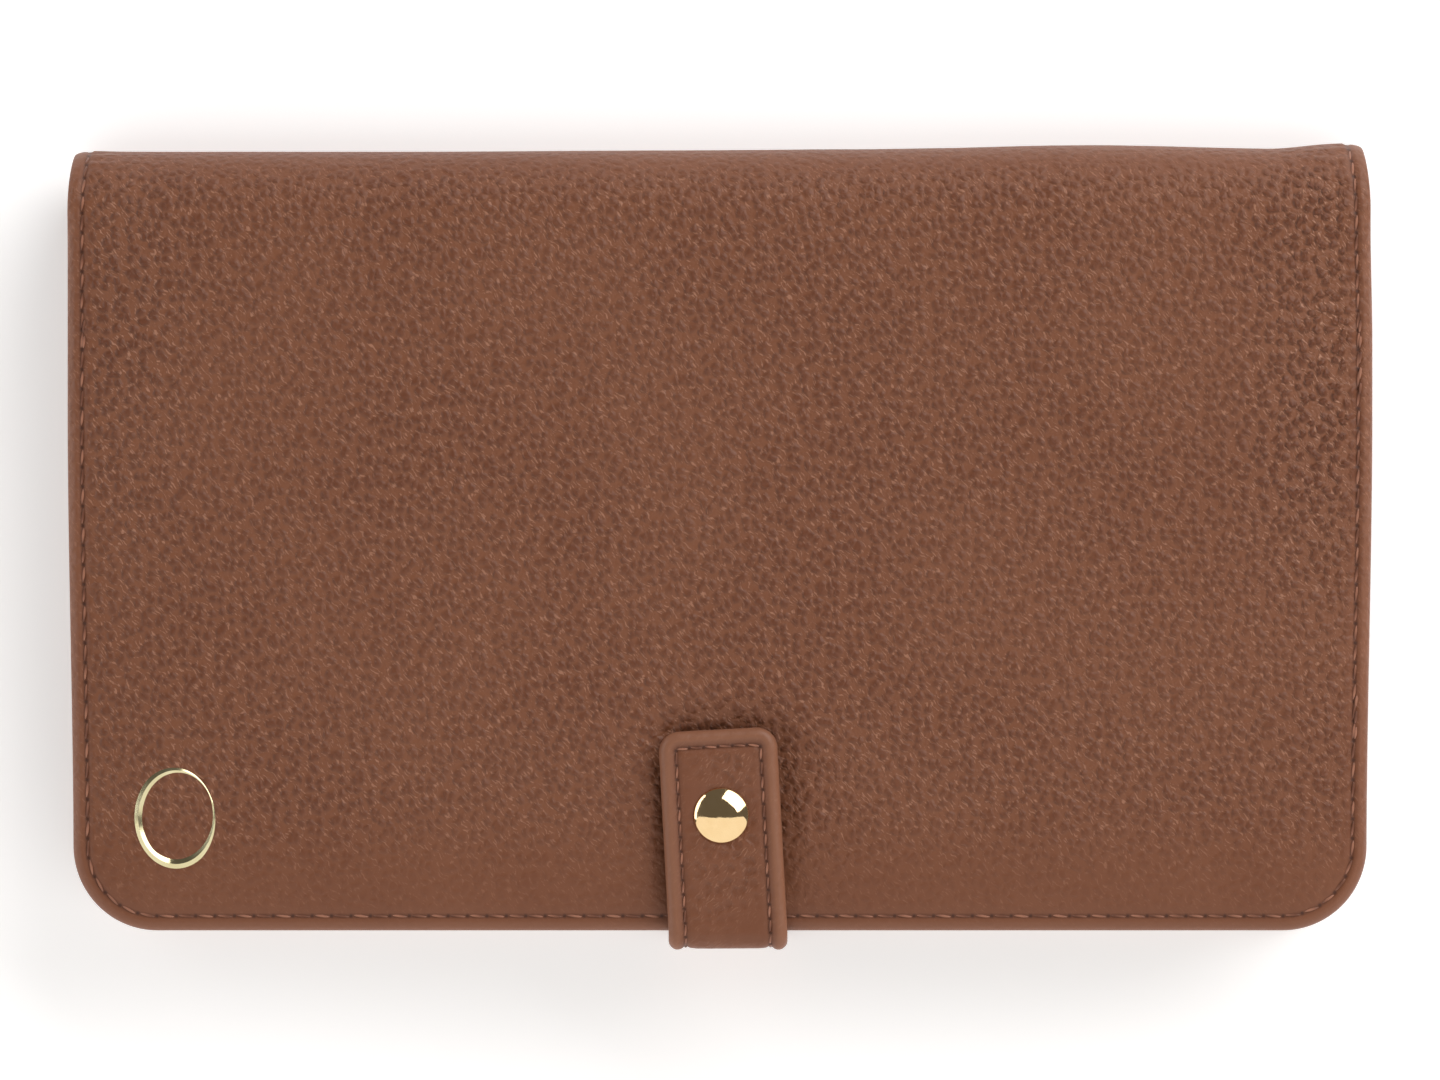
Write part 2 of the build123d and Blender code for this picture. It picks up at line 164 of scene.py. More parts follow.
# Front cover: one panel of embossed, drum-dyed cow leather over foam and board. Its rim is turned under
# and glued, sewn round on three sides, and at the top the leather rolls on over the fold.

cover_length = 200 * mm
opening_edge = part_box("front_cover_leather")[0].y
fold_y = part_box("front_cover_leather")[1].y
fold_radius = wallet_top / 2
cover_corner = 13 * mm
cover_flat = fold_y - opening_edge
cover_reach = cover_flat + pi / 2 * fold_radius
cover_edge = (2.0 * mm, 1.2 * mm, 6.0 * mm)
cover_skin = 1.0 * mm
seam_inset = 2.3 * mm
stitch_pitch = 3.0 * mm
front_crown = 1.3 * mm


def smooth(t):
    """Rises from 0 to 1 as t does, with level ends."""
    t = min(max(t, 0.0), 1.0)
    return t * t * (3 - 2 * t)


def bell(t):
    """A bump 1 high and about 1 wide to each side."""
    return exp(-t * t)


def turned_edge(edge, s):
    """How far out and up the leather is when s past the flat, and which way it faces there."""
    bead, under, hem = edge
    if s < pi / 2 * bead:
        a = s / bead
        return bead * sin(a), bead * (cos(a) - 1), sin(a), cos(a)
    s -= pi / 2 * bead
    if s < pi / 2 * under:
        a = s / under
        return bead - under * (1 - cos(a)), -bead - under * sin(a), cos(a), -sin(a)
    s -= pi / 2 * under
    return bead - under - s, -bead - under, 0, -1


def rows(u, low, high, band, share, both):
    """Spreads a grid's rows from low to high, with a share of them in a band at the ends."""
    if u < share:
        return low + band * u / share
    if not both:
        return low + band + (high - low - band) * (u - share) / (1 - share)
    if u > 1 - share:
        return high - band * (1 - u) / share
    return low + band + (high - low - 2 * band) * (u - share) / (1 - 2 * share)


def panel(
    half, length, corners, edge, cells, relief, place, inset, skin=None, slim=None, shares=(0.1, 0.1), flat=0
):
    """A flat cut of leather or cloth with turned edges, as a bmesh. x runs across it and t along it,
    from its near end. With a skin it is hollow and square at its far end; without, it is a solid slab,
    turned at both ends. relief and slim say how high and how thick it is; place puts it where it goes.
    inset is its seam's depth from the rim; up to flat, the inner skin is one plain face."""
    bead, under, hem = edge
    turn = pi / 2 * (bead + under) + hem
    solid = skin is None
    band = turn + 3 * bead
    bm = bmesh.new()
    bmesh.ops.create_grid(bm, x_segments=cells[0], y_segments=cells[1], size=1)
    inner = set()
    if not solid:
        copied = bmesh.ops.extrude_face_region(bm, geom=bm.faces[:])
        inner = {g for g in copied["geom"] if isinstance(g, bmesh.types.BMVert)}
    marks = {}
    level = set()
    for v in bm.verts:
        side = half - bead + turn
        x = rows((v.co.x + 1) / 2, -side, side, band, shares[0], True)
        t = rows(
            (v.co.y + 1) / 2, bead - turn, length - bead + turn if solid else length, band, shares[1], solid
        )
        far = solid and t > length / 2
        corner = corners[1] if far else corners[0]
        out_x = abs(x) - (half - corner)
        out_t = t - (length - corner) if far else corner - t
        sign_x, sign_t = (1 if x > 0 else -1), (1 if far else -1)
        reach = max(out_x, out_t)
        if out_x > 0 and out_t > 0:
            ways = (out_x / hypot(out_x, out_t), out_t / hypot(out_x, out_t))
        else:
            ways = (1, 0) if out_x > out_t else (0, 1)
        depth = corner - reach
        past = bead - depth
        drop, face_out, face_up = 0, 0, 1
        radial = reach
        if past > 0:
            radial, drop, face_out, face_up = turned_edge(edge, past)
            radial += corner - bead
        keep_x = sign_x * (half - corner) if ways[0] else x
        keep_t = (length - corner if far else corner) if ways[1] else t
        seam_radius = corners[0] - inset
        turn_angle = atan2(max(out_x, 0), max(out_t, 0)) if t < corners[0] and out_x > 0 else 0
        along = min(abs(x), half - corners[0]) + turn_angle * seam_radius
        if t >= corners[0] and out_x > out_t:
            along = half - corners[0] + pi / 2 * seam_radius + t - corners[0]
        along *= sign_x
        thin = slim(x, t) if slim else 1
        if v in inner:
            radial -= skin * face_out if past > 0 else 0
            height = drop * thin - skin * face_up * min(1, thin * 1.5)
            if past < -1.5 * mm and t < flat:
                level.add(v)
        else:
            fade = 1 if past < 0 else max(0, 1 - past / (pi / 2 * bead))
            height = drop * thin + fade * relief(x, t, depth, along)
        fx = keep_x + sign_x * ways[0] * radial if ways[0] else x
        ft = keep_t + sign_t * ways[1] * radial if ways[1] else t
        ux = keep_x + sign_x * ways[0] * reach if ways[0] else x
        ut = keep_t + sign_t * ways[1] * reach if ways[1] else t
        marks[v] = (ux, ut, along, depth)
        v.co = place(fx, ft, height)
    grain, seam = bm.loops.layers.uv.new("grain"), bm.loops.layers.uv.new("seam")
    for face in bm.faces:
        for loop in face.loops:
            ux, ut, along, depth = marks[loop.vert]
            loop[grain].uv = (ux / mm, ut / mm)
            loop[seam].uv = (along / mm, depth / mm)
    if solid:
        rim = [e for e in bm.edges if e.is_boundary]
        bmesh.ops.contextual_create(bm, geom=rim)
    elif level:
        plain = [f for f in bm.faces if all(v in level for v in f.verts)]
        bmesh.ops.dissolve_faces(bm, faces=plain, use_verts=True)
    bmesh.ops.recalc_face_normals(bm, faces=bm.faces[:])
    return bm


def side_shift(x, y):
    """How far the cover's sides stand out: drawn in a little towards both of its ends."""
    low = 0.25 * mm - 0.9 * mm * smooth((20 * mm - y) / (70 * mm))
    high = 0.8 * mm * max(0, (y - 50 * mm) / (10 * mm)) ** 2
    right = 0.3 * mm * smooth((y - 30 * mm) / (20 * mm)) if x > 0 and y > 30 * mm else 0
    return (low - high - right) / (cover_length / 2)


def fold_wave(x):
    """The fold's crest is not quite straight."""
    rise = 0.3 * mm * smooth((x + 60 * mm) / (80 * mm)) + 0.8 * mm * smooth((x - 85 * mm) / (11 * mm))
    return -0.05 * mm + rise + 0.7 * mm * bell((x - 58 * mm) / (24 * mm))


def on_front(x, t, h):
    """Where a point of the front cover's leather is: x across, t up from the opening edge, h outwards."""
    if t <= cover_flat:
        y, z = opening_edge + t, h
    else:
        a = (t - cover_flat) / fold_radius
        reach = fold_radius + h + fold_wave(x) * sin(a) ** 2
        y, z = fold_y + reach * sin(a), reach * cos(a) - fold_radius
    return x * (1 + side_shift(x, y)), y, wallet_top + z


def cover_thickness(x, t):
    """The rim's thickness: less over the fold, where there is no board."""
    return 1 - 0.66 * smooth((t - cover_flat + 6 * mm) / (12 * mm))


def gathers(along, depth):
    """The leather's puckers beside the seam, one to a stitch but uneven."""
    inside = depth - seam_inset
    if inside < 0:
        return 0
    drift = noise.noise((along / (7 * mm), 3.1, 0))
    wave = cos(2 * pi * along / stitch_pitch + 2.5 * drift)
    size = 0.08 * mm * (1 + 1.2 * noise.noise((along / (13 * mm), 8.7, 0)))
    at_side = smooth((abs(along) - 120 * mm) / (30 * mm))
    reach = (1.9 + 1.3 * at_side) * mm
    return size * (1 + 1.2 * at_side) * wave * exp(-inside / reach) * smooth(inside / (0.6 * mm))


def cover_relief(crown, low):
    """The height of a padded cover above its rim: its crown and slight lumps, its seam's groove, which is
    shallower on the fold's crest, and its gathers. low is where its lumps are taken from."""

    def height(x, t, depth, along):
        inside = max(0, depth - seam_inset)
        filled = 1 - exp(-inside / (7 * mm))
        over_fold = 1 - smooth((t - cover_flat + 14 * mm) / (22 * mm))
        lumps = 0.16 * mm * noise.noise((x / (34 * mm), t / (26 * mm), low))
        lumps += 0.06 * mm * noise.noise((x / (9 * mm), t / (9 * mm), low + 5))
        at_crest = smooth((t - cover_flat - 8 * mm) / (7 * mm))
        groove = 0.42 * mm * bell((depth - seam_inset) / (0.42 * mm)) * (1 - 0.65 * at_crest)
        lift = (crown + lumps) * filled * over_fold + lumps * (1 - over_fold) * filled * 0.4
        return lift - groove + gathers(along, depth)

    return height


front_padding = cover_relief(front_crown, 1.0)


def front_relief(x, t, depth, along):
    """The front cover's height, pressed flat under the strap."""
    raised = front_padding(x, t, depth, along)
    strap_x, strap_end = 1 * mm, 32 * mm
    across = smooth((13 * mm - abs(x - strap_x)) / (6 * mm))
    up = smooth((strap_end + 4 * mm - t) / (8 * mm))
    pressed = across * up * smooth((depth - seam_inset) / (6 * mm))
    return raised * (1 - pressed) - 0.05 * mm * pressed


def grained_leather(name, body, ridge, shine, deep, pebble, height, shade_holes, rough=0.47, rim_highlight=0.1):
    """Drum-dyed leather, embossed with a pebble grain and given a thin satin finish. The pebbles' tops
    are a little darker than the rubbed creases between them. Painted highlights lighten thin slanting
    streaks on the ridges and the rounded rim outside the seam, and painted shade darkens the needle holes
    and the seam's track. Sizes are in millimetres of the hide."""
    made, tree = material(name)
    flat = node(tree, "UVMap", {"uv_map": "grain"})
    seam = node(tree, "UVMap", {"uv_map": "seam"})
    amount = node(tree, "Attribute", {"attribute_name": "grain_amount"})
    sway = node(tree, "TexNoise", {"noise_dimensions": "2D"}, Vector=flat, Scale=0.45, Detail=2.0)
    shift = node(tree, "VectorMath", {"operation": "SUBTRACT"}, _0=sway.outputs["Color"], _1=(0.5, 0.5, 0.5))
    wider = node(tree, "VectorMath", {"operation": "SCALE"}, _0=shift, Scale=1.1)
    bent = node(tree, "VectorMath", {"operation": "ADD"}, _0=flat, _1=wider)
    pebbles = node(
        tree, "TexVoronoi", {"voronoi_dimensions": "2D", "feature": "SMOOTH_F1"}, Vector=bent,
        Scale=1 / pebble, Smoothness=0.35, Randomness=0.9,
    )
    small = node(
        tree, "TexVoronoi", {"voronoi_dimensions": "2D", "feature": "F1"}, Vector=bent, Scale=2.7 / pebble,
        Randomness=1.0,
    )
    creases = node(
        tree, "TexNoise", {"noise_dimensions": "2D", "noise_type": "RIDGED_MULTIFRACTAL"}, Vector=bent,
        Scale=0.55 / pebble, Detail=4.0, Roughness=0.6,
    )
    pores = node(tree, "TexNoise", {"noise_dimensions": "2D"}, Vector=flat, Scale=5.0, Detail=3.0)
    slant = node(
        tree, "Mapping", {"vector_type": "TEXTURE"}, Vector=bent, Rotation=(0, 0, radians(-48)),
        Scale=(1.3, 0.34, 1),
    )
    slant_streak_noise = node(tree, "TexNoise", {"noise_dimensions": "2D"}, Vector=slant, Scale=1.15, Detail=2.0)
    streaks = node(
        tree, "MapRange", {"interpolation_type": "SMOOTHSTEP"}, Value=slant_streak_noise, From_Min=0.58, From_Max=0.7
    )
    dome = node(
        tree, "MapRange", {"interpolation_type": "SMOOTHSTEP"}, Value=pebbles.outputs["Distance"],
        From_Min=0.1, From_Max=0.55, To_Min=1.0, To_Max=0.0,
    )
    fine = node(tree, "Math", {"operation": "MULTIPLY"}, _0=small.outputs["Distance"], _1=-0.34)
    body_and_fine = node(tree, "Math", {"operation": "ADD"}, _0=dome, _1=fine)
    crease = node(tree, "Math", {"operation": "MULTIPLY"}, _0=creases, _1=0.16)
    rough_skin = node(tree, "Math", {"operation": "ADD"}, _0=body_and_fine, _1=crease)
    rough_skin = node(tree, "Math", {"operation": "MULTIPLY_ADD"}, _0=streaks, _1=0.3, _2=rough_skin)
    skin_grain = node(tree, "Math", {"operation": "MULTIPLY"}, _0=rough_skin, _1=amount.outputs["Fac"])
    pore = node(tree, "Math", {"operation": "MULTIPLY"}, _0=pores, _1=0.12)
    relief = node(tree, "Math", {"operation": "ADD"}, _0=skin_grain, _1=pore)
    bump = node(tree, "Bump", Height=relief, Distance=height * mm, Strength=1.0)

    tone = node(tree, "TexNoise", {"noise_dimensions": "2D"}, Vector=flat, Scale=0.035, Detail=3.0)
    valley = node(tree, "Math", {"operation": "SUBTRACT"}, _0=1.0, _1=dome)
    grained = node(tree, "Math", {"operation": "MULTIPLY"}, _0=valley, _1=amount.outputs["Fac"])
    # glint marks the slanting streaks on the ridges, where highlights are painted in a lighter colour
    glint = node(tree, "Math", {"operation": "MULTIPLY"}, _0=streaks, _1=grained)
    about = node(tree, "Math", {"operation": "SUBTRACT"}, _0=valley, _1=0.62)
    rubbed = node(tree, "Math", {"operation": "MULTIPLY"}, _0=about, _1=amount.outputs["Fac"])
    share = node(tree, "Math", {"operation": "MULTIPLY_ADD"}, _0=rubbed, _1=0.62, _2=0.44)
    share = node(tree, "Math", {"operation": "MULTIPLY_ADD"}, _0=glint, _1=0.6, _2=share)
    dyed = node(tree, "Mix", {"data_type": "RGBA"}, _0=share, _6=linear(body), _7=linear(ridge))
    cloud = node(tree, "MapRange", Value=tone, From_Min=0.35, From_Max=0.65, To_Min=0.0, To_Max=0.3)
    colour = node(tree, "Mix", {"data_type": "RGBA"}, _0=cloud, _6=dyed.outputs[2], _7=linear(ridge))
    # painted highlight: the streaks on the ridges are mixed towards the shine colour
    painted_glint = node(tree, "Math", {"operation": "MULTIPLY"}, _0=glint, _1=0.6)
    colour = node(tree, "Mix", {"data_type": "RGBA"}, _0=painted_glint, _6=colour.outputs[2], _7=linear(shine))
    if shade_holes:
        place = node(tree, "SeparateXYZ", Vector=seam)
        steps = node(tree, "Math", {"operation": "DIVIDE"}, _0=place, _1=shade_holes[0])
        turns = node(tree, "Math", {"operation": "PINGPONG"}, _0=steps, _1=0.5)
        hole = node(tree, "MapRange", Value=turns, From_Min=0.04, From_Max=0.17, To_Min=1.0, To_Max=0.0)
        offset = node(tree, "Math", {"operation": "SUBTRACT"}, _0=place.outputs[1], _1=shade_holes[1])
        aside = node(tree, "Math", {"operation": "ABSOLUTE"}, _0=offset)
        line = node(tree, "MapRange", Value=aside, From_Min=0.12, From_Max=0.5, To_Min=1.0, To_Max=0.0)
        # painted highlight: the rounded rim outside the seam is mixed towards the shine colour, where its
        # roll catches the light
        rim = node(
            tree, "MapRange", Value=place.outputs[1], From_Min=shade_holes[1] - 0.4,
            From_Max=shade_holes[1] - 1.2, To_Min=0.0, To_Max=rim_highlight,
        )
        colour = node(tree, "Mix", {"data_type": "RGBA"}, _0=rim, _6=colour.outputs[2], _7=linear(shine))
        # painted shade: the needle holes and the dark line of the seam's track are mixed towards the deep
        # colour
        hole_shade = node(tree, "Math", {"operation": "MULTIPLY"}, _0=hole, _1=line)
        groove_shade = node(tree, "Math", {"operation": "MULTIPLY"}, _0=line, _1=0.45)
        dark = node(tree, "Math", {"operation": "MAXIMUM"}, _0=hole_shade, _1=groove_shade)
        colour = node(tree, "Mix", {"data_type": "RGBA"}, _0=dark, _6=colour.outputs[2], _7=linear(deep))
    return finish_material(
        made, tree, Base_Color=colour.outputs[2], Roughness=rough, Specular_IOR_Level=0.32, Normal=bump
    )


def grain_amount(piece, rule):
    """Writes how strongly the hide's grain stands at each point, from its place and its depth."""
    mesh = piece.data
    flats, seams = mesh.uv_layers["grain"].data, mesh.uv_layers["seam"].data
    amounts = [0.0] * len(mesh.vertices)
    for loop in mesh.loops:
        x, t = flats[loop.index].uv
        amounts[loop.vertex_index] = rule(x * mm, t * mm, seams[loop.index].uv[1] * mm)
    layer = mesh.attributes.new("grain_amount", "FLOAT", "POINT")
    layer.data.foreach_set("value", amounts)


def cover_grain(x, t, depth):
    """Pulled smooth along the rim, the opening edge and the crest of the fold."""
    at_edge = 0.25 + 0.75 * smooth((t - 6 * mm) / (16 * mm))
    at_rim = 0.3 + 0.7 * smooth((depth - seam_inset) / (2.5 * mm))
    at_fold = 1 - 0.65 * smooth((t - cover_flat - 4 * mm) / (6 * mm))
    extra = 0.7 if x > 0 else 0.4
    at_side = 1 + extra * smooth((abs(x) - 76 * mm) / (16 * mm)) * smooth((t - 40 * mm) / (40 * mm))
    return at_edge * at_rim * at_fold * at_side


# ad7c63 is the colour of the painted highlights, 4a281a that of the painted shade in the seam's holes and
# track
hide = grained_leather(
    "pebbled_cow_leather", "673922", "825239", "ad7c63", "4a281a", 1.6, 0.25,
    (stitch_pitch / mm, seam_inset / mm),
)
cells = ((320, 200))
cover_shares = (0.12, 0.13)
bm = panel(
    cover_length / 2, cover_reach, (cover_corner, cover_corner), cover_edge, cells, front_relief, on_front,
    seam_inset, skin=cover_skin, slim=cover_thickness, shares=cover_shares, flat=cover_flat - 2 * mm,
)
front_leather = place_mesh("front_leather", bm, hide)
grain_amount(front_leather, cover_grain)
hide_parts("front_cover_leather", "spine_leather", "front_edge_thread")
fold_crest = (0, fold_y + fold_radius, fold_radius)
front_crossing = ("spine", "front", fold_crest, (0, fold_y, wallet_top))
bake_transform(front_leather)


# Front seam: bonded polyester thread in a lock stitch, sunk into the leather it draws down. Three short
# stretches at the sides are sewn twice over to lock them.


def on_seam(half, corner, inset, along):
    """The place across and up a panel of a point of its seam, counted from the middle of its near end."""
    straight, bend = half - corner, corner - inset
    far = abs(along)
    side = 1 if along > 0 else -1
    if far < straight:
        return along, inset
    if far < straight + pi / 2 * bend:
        a = (far - straight) / bend
        return side * (straight + bend * sin(a)), corner - bend * cos(a)
    return side * (half - inset), corner + far - straight - pi / 2 * bend


def seam_at(half, corner, inset, up):
    """How far along its seam the point this far up a panel's side is: on_seam the other way round."""
    return half - corner + pi / 2 * (corner - inset) + up - corner


def stitch(bm, start, end, up, radius, lean=0.12):
    """One stitch: a short fat length of thread between two needle holes, a little askew."""
    run = end - start
    across = run.normalized().cross(up).normalized()
    way = (run.normalized() + lean * across).normalized()
    across = way.cross(up).normalized()
    turned = Matrix((across, way.cross(across), way)).transposed().to_4x4()
    size = Matrix.Diagonal((radius, radius, run.length / 2, 1))
    middle = Matrix.Translation((start + end) / 2)
    bmesh.ops.create_uvsphere(bm, u_segments=7, v_segments=6, radius=1, matrix=middle @ turned @ size)


def seam_row(bm, where, low, high, pitch, place, height, radius, aside=0):
    """A row of stitches between two points along a seam. where turns a length along it into a place."""
    for number in range(round(low / pitch), round(high / pitch)):
        ends = []
        for share in (0.1, 0.9):
            x, t = where((number + share) * pitch)
            ends.append(Vector(place(x + aside, t, height)))
        x, t = where((number + 0.5) * pitch)
        up = (Vector(place(x, t, height + mm)) - Vector(place(x, t, height))).normalized()
        stitch(bm, ends[0], ends[1], up, radius)


def thread_material(name, colour, light):
    """Bonded polyester thread, three plies twisted together, with the slight shine of its coating. Its twist
    bands are painted lighter as highlights on the plies.
    """
    made, tree = material(name)
    place = node(tree, "TexCoord")
    ply = 0.45
    twist_and_highlight = node(
        tree, "TexWave", {"bands_direction": "DIAGONAL"}, Vector=place.outputs["Object"],
        Scale=1 / (ply * mm) / 20, Distortion=1.5,
    )
    # painted highlight: the twist bands are mixed towards the light colour
    tint = node(tree, "Mix", {"data_type": "RGBA"}, _0=twist_and_highlight.outputs[1], _6=linear(colour), _7=linear(light))
    bump = node(tree, "Bump", Height=twist_and_highlight.outputs[1], Distance=0.05 * mm, Strength=0.8)
    return finish_material(
        made, tree, Base_Color=tint.outputs[2], Roughness=0.42, Normal=bump, Sheen_Weight=0.15
    )


# a06c54 is the painted highlight on the thread's plies
brown_thread = thread_material("brown_bonded_polyester", "6a3e2a", "a06c54")
thread_radius = 0.24 * mm
seam_length = seam_at(cover_length / 2, cover_corner, seam_inset, cover_reach)


def cover_seam(name, place, sewn_twice):
    """The seam of a cover, and where it is sewn twice."""
    sunk = -0.3 * mm
    bm = bmesh.new()
    where = partial(on_seam, cover_length / 2, cover_corner, seam_inset)
    seam_row(bm, where, -seam_length, seam_length, stitch_pitch, place, sunk, thread_radius)
    for low, high in sewn_twice:
        seam_row(
            bm, where, low, high, stitch_pitch * 0.8, place, sunk + thread_radius / 2, thread_radius, 0.3 * mm
        )
    return place_mesh(name, bm, brown_thread)


side_start = seam_at(cover_length / 2, cover_corner, seam_inset, 0)
front_seam = cover_seam(
    "front_stitching", on_front,
    (
        (-side_start - 95 * mm, -side_start - 89 * mm), (side_start + 81 * mm, side_start + 94 * mm),
        (side_start + 29 * mm, side_start + 37 * mm),
    ),
)
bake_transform(front_seam)


# Back cover: the same cut of leather, less padded, lying on its middle. Its rim is pared thin for a
# width of the strap, whose end goes in there between leather and lining.

back_crown = 0.5 * mm
back_edge = (1.6 * mm, 0.9 * mm, 6.0 * mm)
strap_low, strap_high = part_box("strap_bridge_leather")


def on_back(x, t, h):
    """Where a point of the back cover's leather is, its outer face down."""
    resting = (back_crown + 0.22 * mm) * (1 - smooth((t - cover_flat + 10 * mm) / (20 * mm)))
    place = on_front(x, t, h - resting)
    return place[0], place[1], wallet_top - place[2]


def back_thickness(x, t):
    """The back rim's thickness, pared where the strap goes in."""
    beside = max(strap_low.x - x, x - strap_high.x)
    pared = 0.62 * smooth(1 - beside / (2.5 * mm)) * smooth((20 * mm - t) / (10 * mm))
    return (1 - pared) * (1 - 0.25 * smooth((t - cover_flat + 6 * mm) / (10 * mm)))


bm = panel(
    cover_length / 2, cover_reach, (cover_corner, cover_corner), back_edge, cells,
    cover_relief(back_crown, 4.0), on_back, seam_inset, skin=cover_skin * 0.8, slim=back_thickness,
    shares=cover_shares, flat=cover_flat - 12 * mm,
)
back_leather = place_mesh("back_leather", bm, hide)
grain_amount(back_leather, cover_grain)
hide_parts("back_cover_leather", "spine_leather", "back_edge_thread")
back_crossing = ("back", "spine", (0, fold_y, 0), fold_crest)
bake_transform(back_leather)
back_seam = cover_seam("back_stitching", on_back, ((side_start + 60 * mm, side_start + 68 * mm),))
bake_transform(back_seam)


# Foam and boards: a sheet of brown closed-cell foam and a grey paper board, glued inside each cover.
# Both are hidden but for what a pared rim lets show.

# Polyethylene foam: fine closed cells, matt and even. Grey board: a rough grey-brown felt of paper fibres.
foam, tree = material("polyethylene_foam")
place = node(tree, "TexCoord")
cells_of_foam = node(tree, "TexVoronoi", Vector=place.outputs["Object"], Scale=1 / (0.5 * mm))
bump = node(tree, "Bump", Height=cells_of_foam, Distance=0.1 * mm, Strength=0.6)
tint = node(tree, "Mix", {"data_type": "RGBA"}, _0=cells_of_foam, _6=linear("59443a"), _7=linear("6c5447"))
finish_material(foam, tree, Base_Color=tint.outputs[2], Roughness=0.8, Normal=bump)

grey_board, tree = material("grey_paper_board")
place = node(tree, "TexCoord")
fibres = node(tree, "TexNoise", Vector=place.outputs["Object"], Scale=1 / (0.8 * mm), Detail=6.0)
tint = node(tree, "Mix", {"data_type": "RGBA"}, _0=fibres, _6=linear("6b5f52"), _7=linear("8a7c6c"))
bump = node(tree, "Bump", Height=fibres, Distance=0.04 * mm, Strength=0.5)
finish_material(grey_board, tree, Base_Color=tint.outputs[2], Roughness=0.9, Normal=bump)


def repaint(made, *names):
    """Gives CAD nodes whose shape is right their material."""
    for name in names:
        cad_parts[name].data.materials.clear()
        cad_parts[name].data.materials.append(made)


repaint(foam, "back_foam", "front_foam")
repaint(grey_board, "back_board", "front_board")


# Cover linings: a fine brown polyester twill over each cover's inside, glued down, its edges turned in,
# running on over the fold without a break.

lining_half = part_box("front_lining")[1].x
lining_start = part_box("front_lining")[0].y - opening_edge
lining_edge = (0.3 * mm, 0.3 * mm, 2.0 * mm)
shell_depth = wallet_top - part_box("front_lining")[0].z
fold_depth = 2.4 * mm


def twill(name, dark, light, pitch):
    """A fine twill woven from filament yarns: diagonal ribs with a soft sheen. The ribs are drawn coarser
    than the real ones so that they show. pitch is in millimetres of the cloth."""
    made, tree = material(name)
    flat = node(tree, "UVMap", {"uv_map": "grain"})
    turned = node(tree, "Mapping", Vector=flat, Rotation=(0, 0, radians(45)))
    ribs = node(tree, "TexWave", Vector=turned, Scale=1 / pitch / 6.28, Distortion=0.6, Detail=1.0)
    yarn = node(tree, "TexNoise", {"noise_dimensions": "2D"}, Vector=flat, Scale=4 / pitch)
    both = node(tree, "Math", {"operation": "MULTIPLY_ADD"}, _0=yarn, _1=0.4, _2=ribs.outputs[1])
    tint = node(tree, "Mix", {"data_type": "RGBA"}, _0=ribs.outputs[1], _6=linear(dark), _7=linear(light))
    bump = node(tree, "Bump", Height=both, Distance=0.06 * mm, Strength=0.7)
    return finish_material(
        made, tree, Base_Color=tint.outputs[2], Roughness=0.62, Sheen_Weight=0.12, Normal=bump
    )


brown_twill = twill("brown_polyester_twill", "3d2419", "5b3a2b", 0.5)


def lining_on(place):
    """Puts a cover's lining under its leather, and closer to it over the fold."""

    def under(x, t, h):
        t += lining_start
        depth = shell_depth + (fold_depth - shell_depth) * smooth((t - cover_flat + 2 * mm) / (9 * mm))
        return place(x, t, -depth - h)

    return under


def no_relief(x, t, depth, along):
    """Plain cloth has no height of its own."""
    return 0


for name, place, old, crossing in (
    ("front_lining_cloth", on_front, "front_lining", front_crossing),
    ("back_lining_cloth", on_back, "back_lining", back_crossing),
):
    bm = panel(
        lining_half, cover_reach - lining_start, (12 * mm, 12 * mm), lining_edge, (60, 70), no_relief,
        lining_on(place), seam_inset, skin=0.25 * mm, shares=(0.12, 0.1),
    )
    piece = place_mesh(name, bm, brown_twill)
    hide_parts(old, "spine_lining")
    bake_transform(piece)


# Strap: a smoother strip of the same leather, its edges turned under over a filler cord that makes them
# stand up round, lined, and sewn round. It comes out of the back cover and leans a little to the left.

strap_half = 9.1 * mm
strap_lean = radians(3.1)
strap_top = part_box("strap_tip_leather")[1].z
strap_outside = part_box("strap_bridge_leather")[0].y
strap_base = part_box("strap_tail")[0].z
strap_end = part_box("strap_tip_leather")[1].y
strap_tip_x = -0.45 * mm
strap_edge = (0.95 * mm, 0.55 * mm, 3.0 * mm)
strap_corner = 3.2 * mm
strap_inset = 2.6 * mm
strap_pitch = 2.2 * mm
high_bend, low_bend = 2.4 * mm, 2.0 * mm
tip_run = strap_end - strap_outside - high_bend
rise = strap_top - high_bend - strap_base - low_bend
tail_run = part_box("strap_tail")[1].y - strap_outside - low_bend
upper_length = tip_run + pi / 2 * high_bend + rise / 2
strap_length = tip_run + pi / 2 * (high_bend + low_bend) + rise + tail_run


def on_strap(x, t, h):
    """Where a point of the strap is: x across it, t down from its free end, h out from its leather."""
    run = t * cos(strap_lean) - x * sin(strap_lean)
    bent = (tip_run + x * sin(strap_lean)) / cos(strap_lean)
    across = strap_tip_x + min(t, bent) * sin(strap_lean) + x * cos(strap_lean)
    if run < tip_run:
        return across, strap_end - run, strap_top + h
    run -= tip_run
    if run < pi / 2 * high_bend:
        a = run / high_bend
        reach = high_bend + h
        return across, strap_outside + high_bend - reach * sin(a), strap_top - high_bend + reach * cos(a)
    run -= pi / 2 * high_bend
    if run < rise:
        return across, strap_outside - h, strap_top - high_bend - run
    run -= rise
    if run < pi / 2 * low_bend:
        a = run / low_bend
        reach = low_bend + h
        return across, strap_outside + low_bend - reach * cos(a), strap_base + low_bend - reach * sin(a)
    run -= pi / 2 * low_bend
    return across, strap_outside + low_bend + run, strap_base - h


def on_strap_low(x, t, h):
    """The same for the strap's lower half, with t up from its sewn-in end."""
    return on_strap(x, strap_length - t, h)


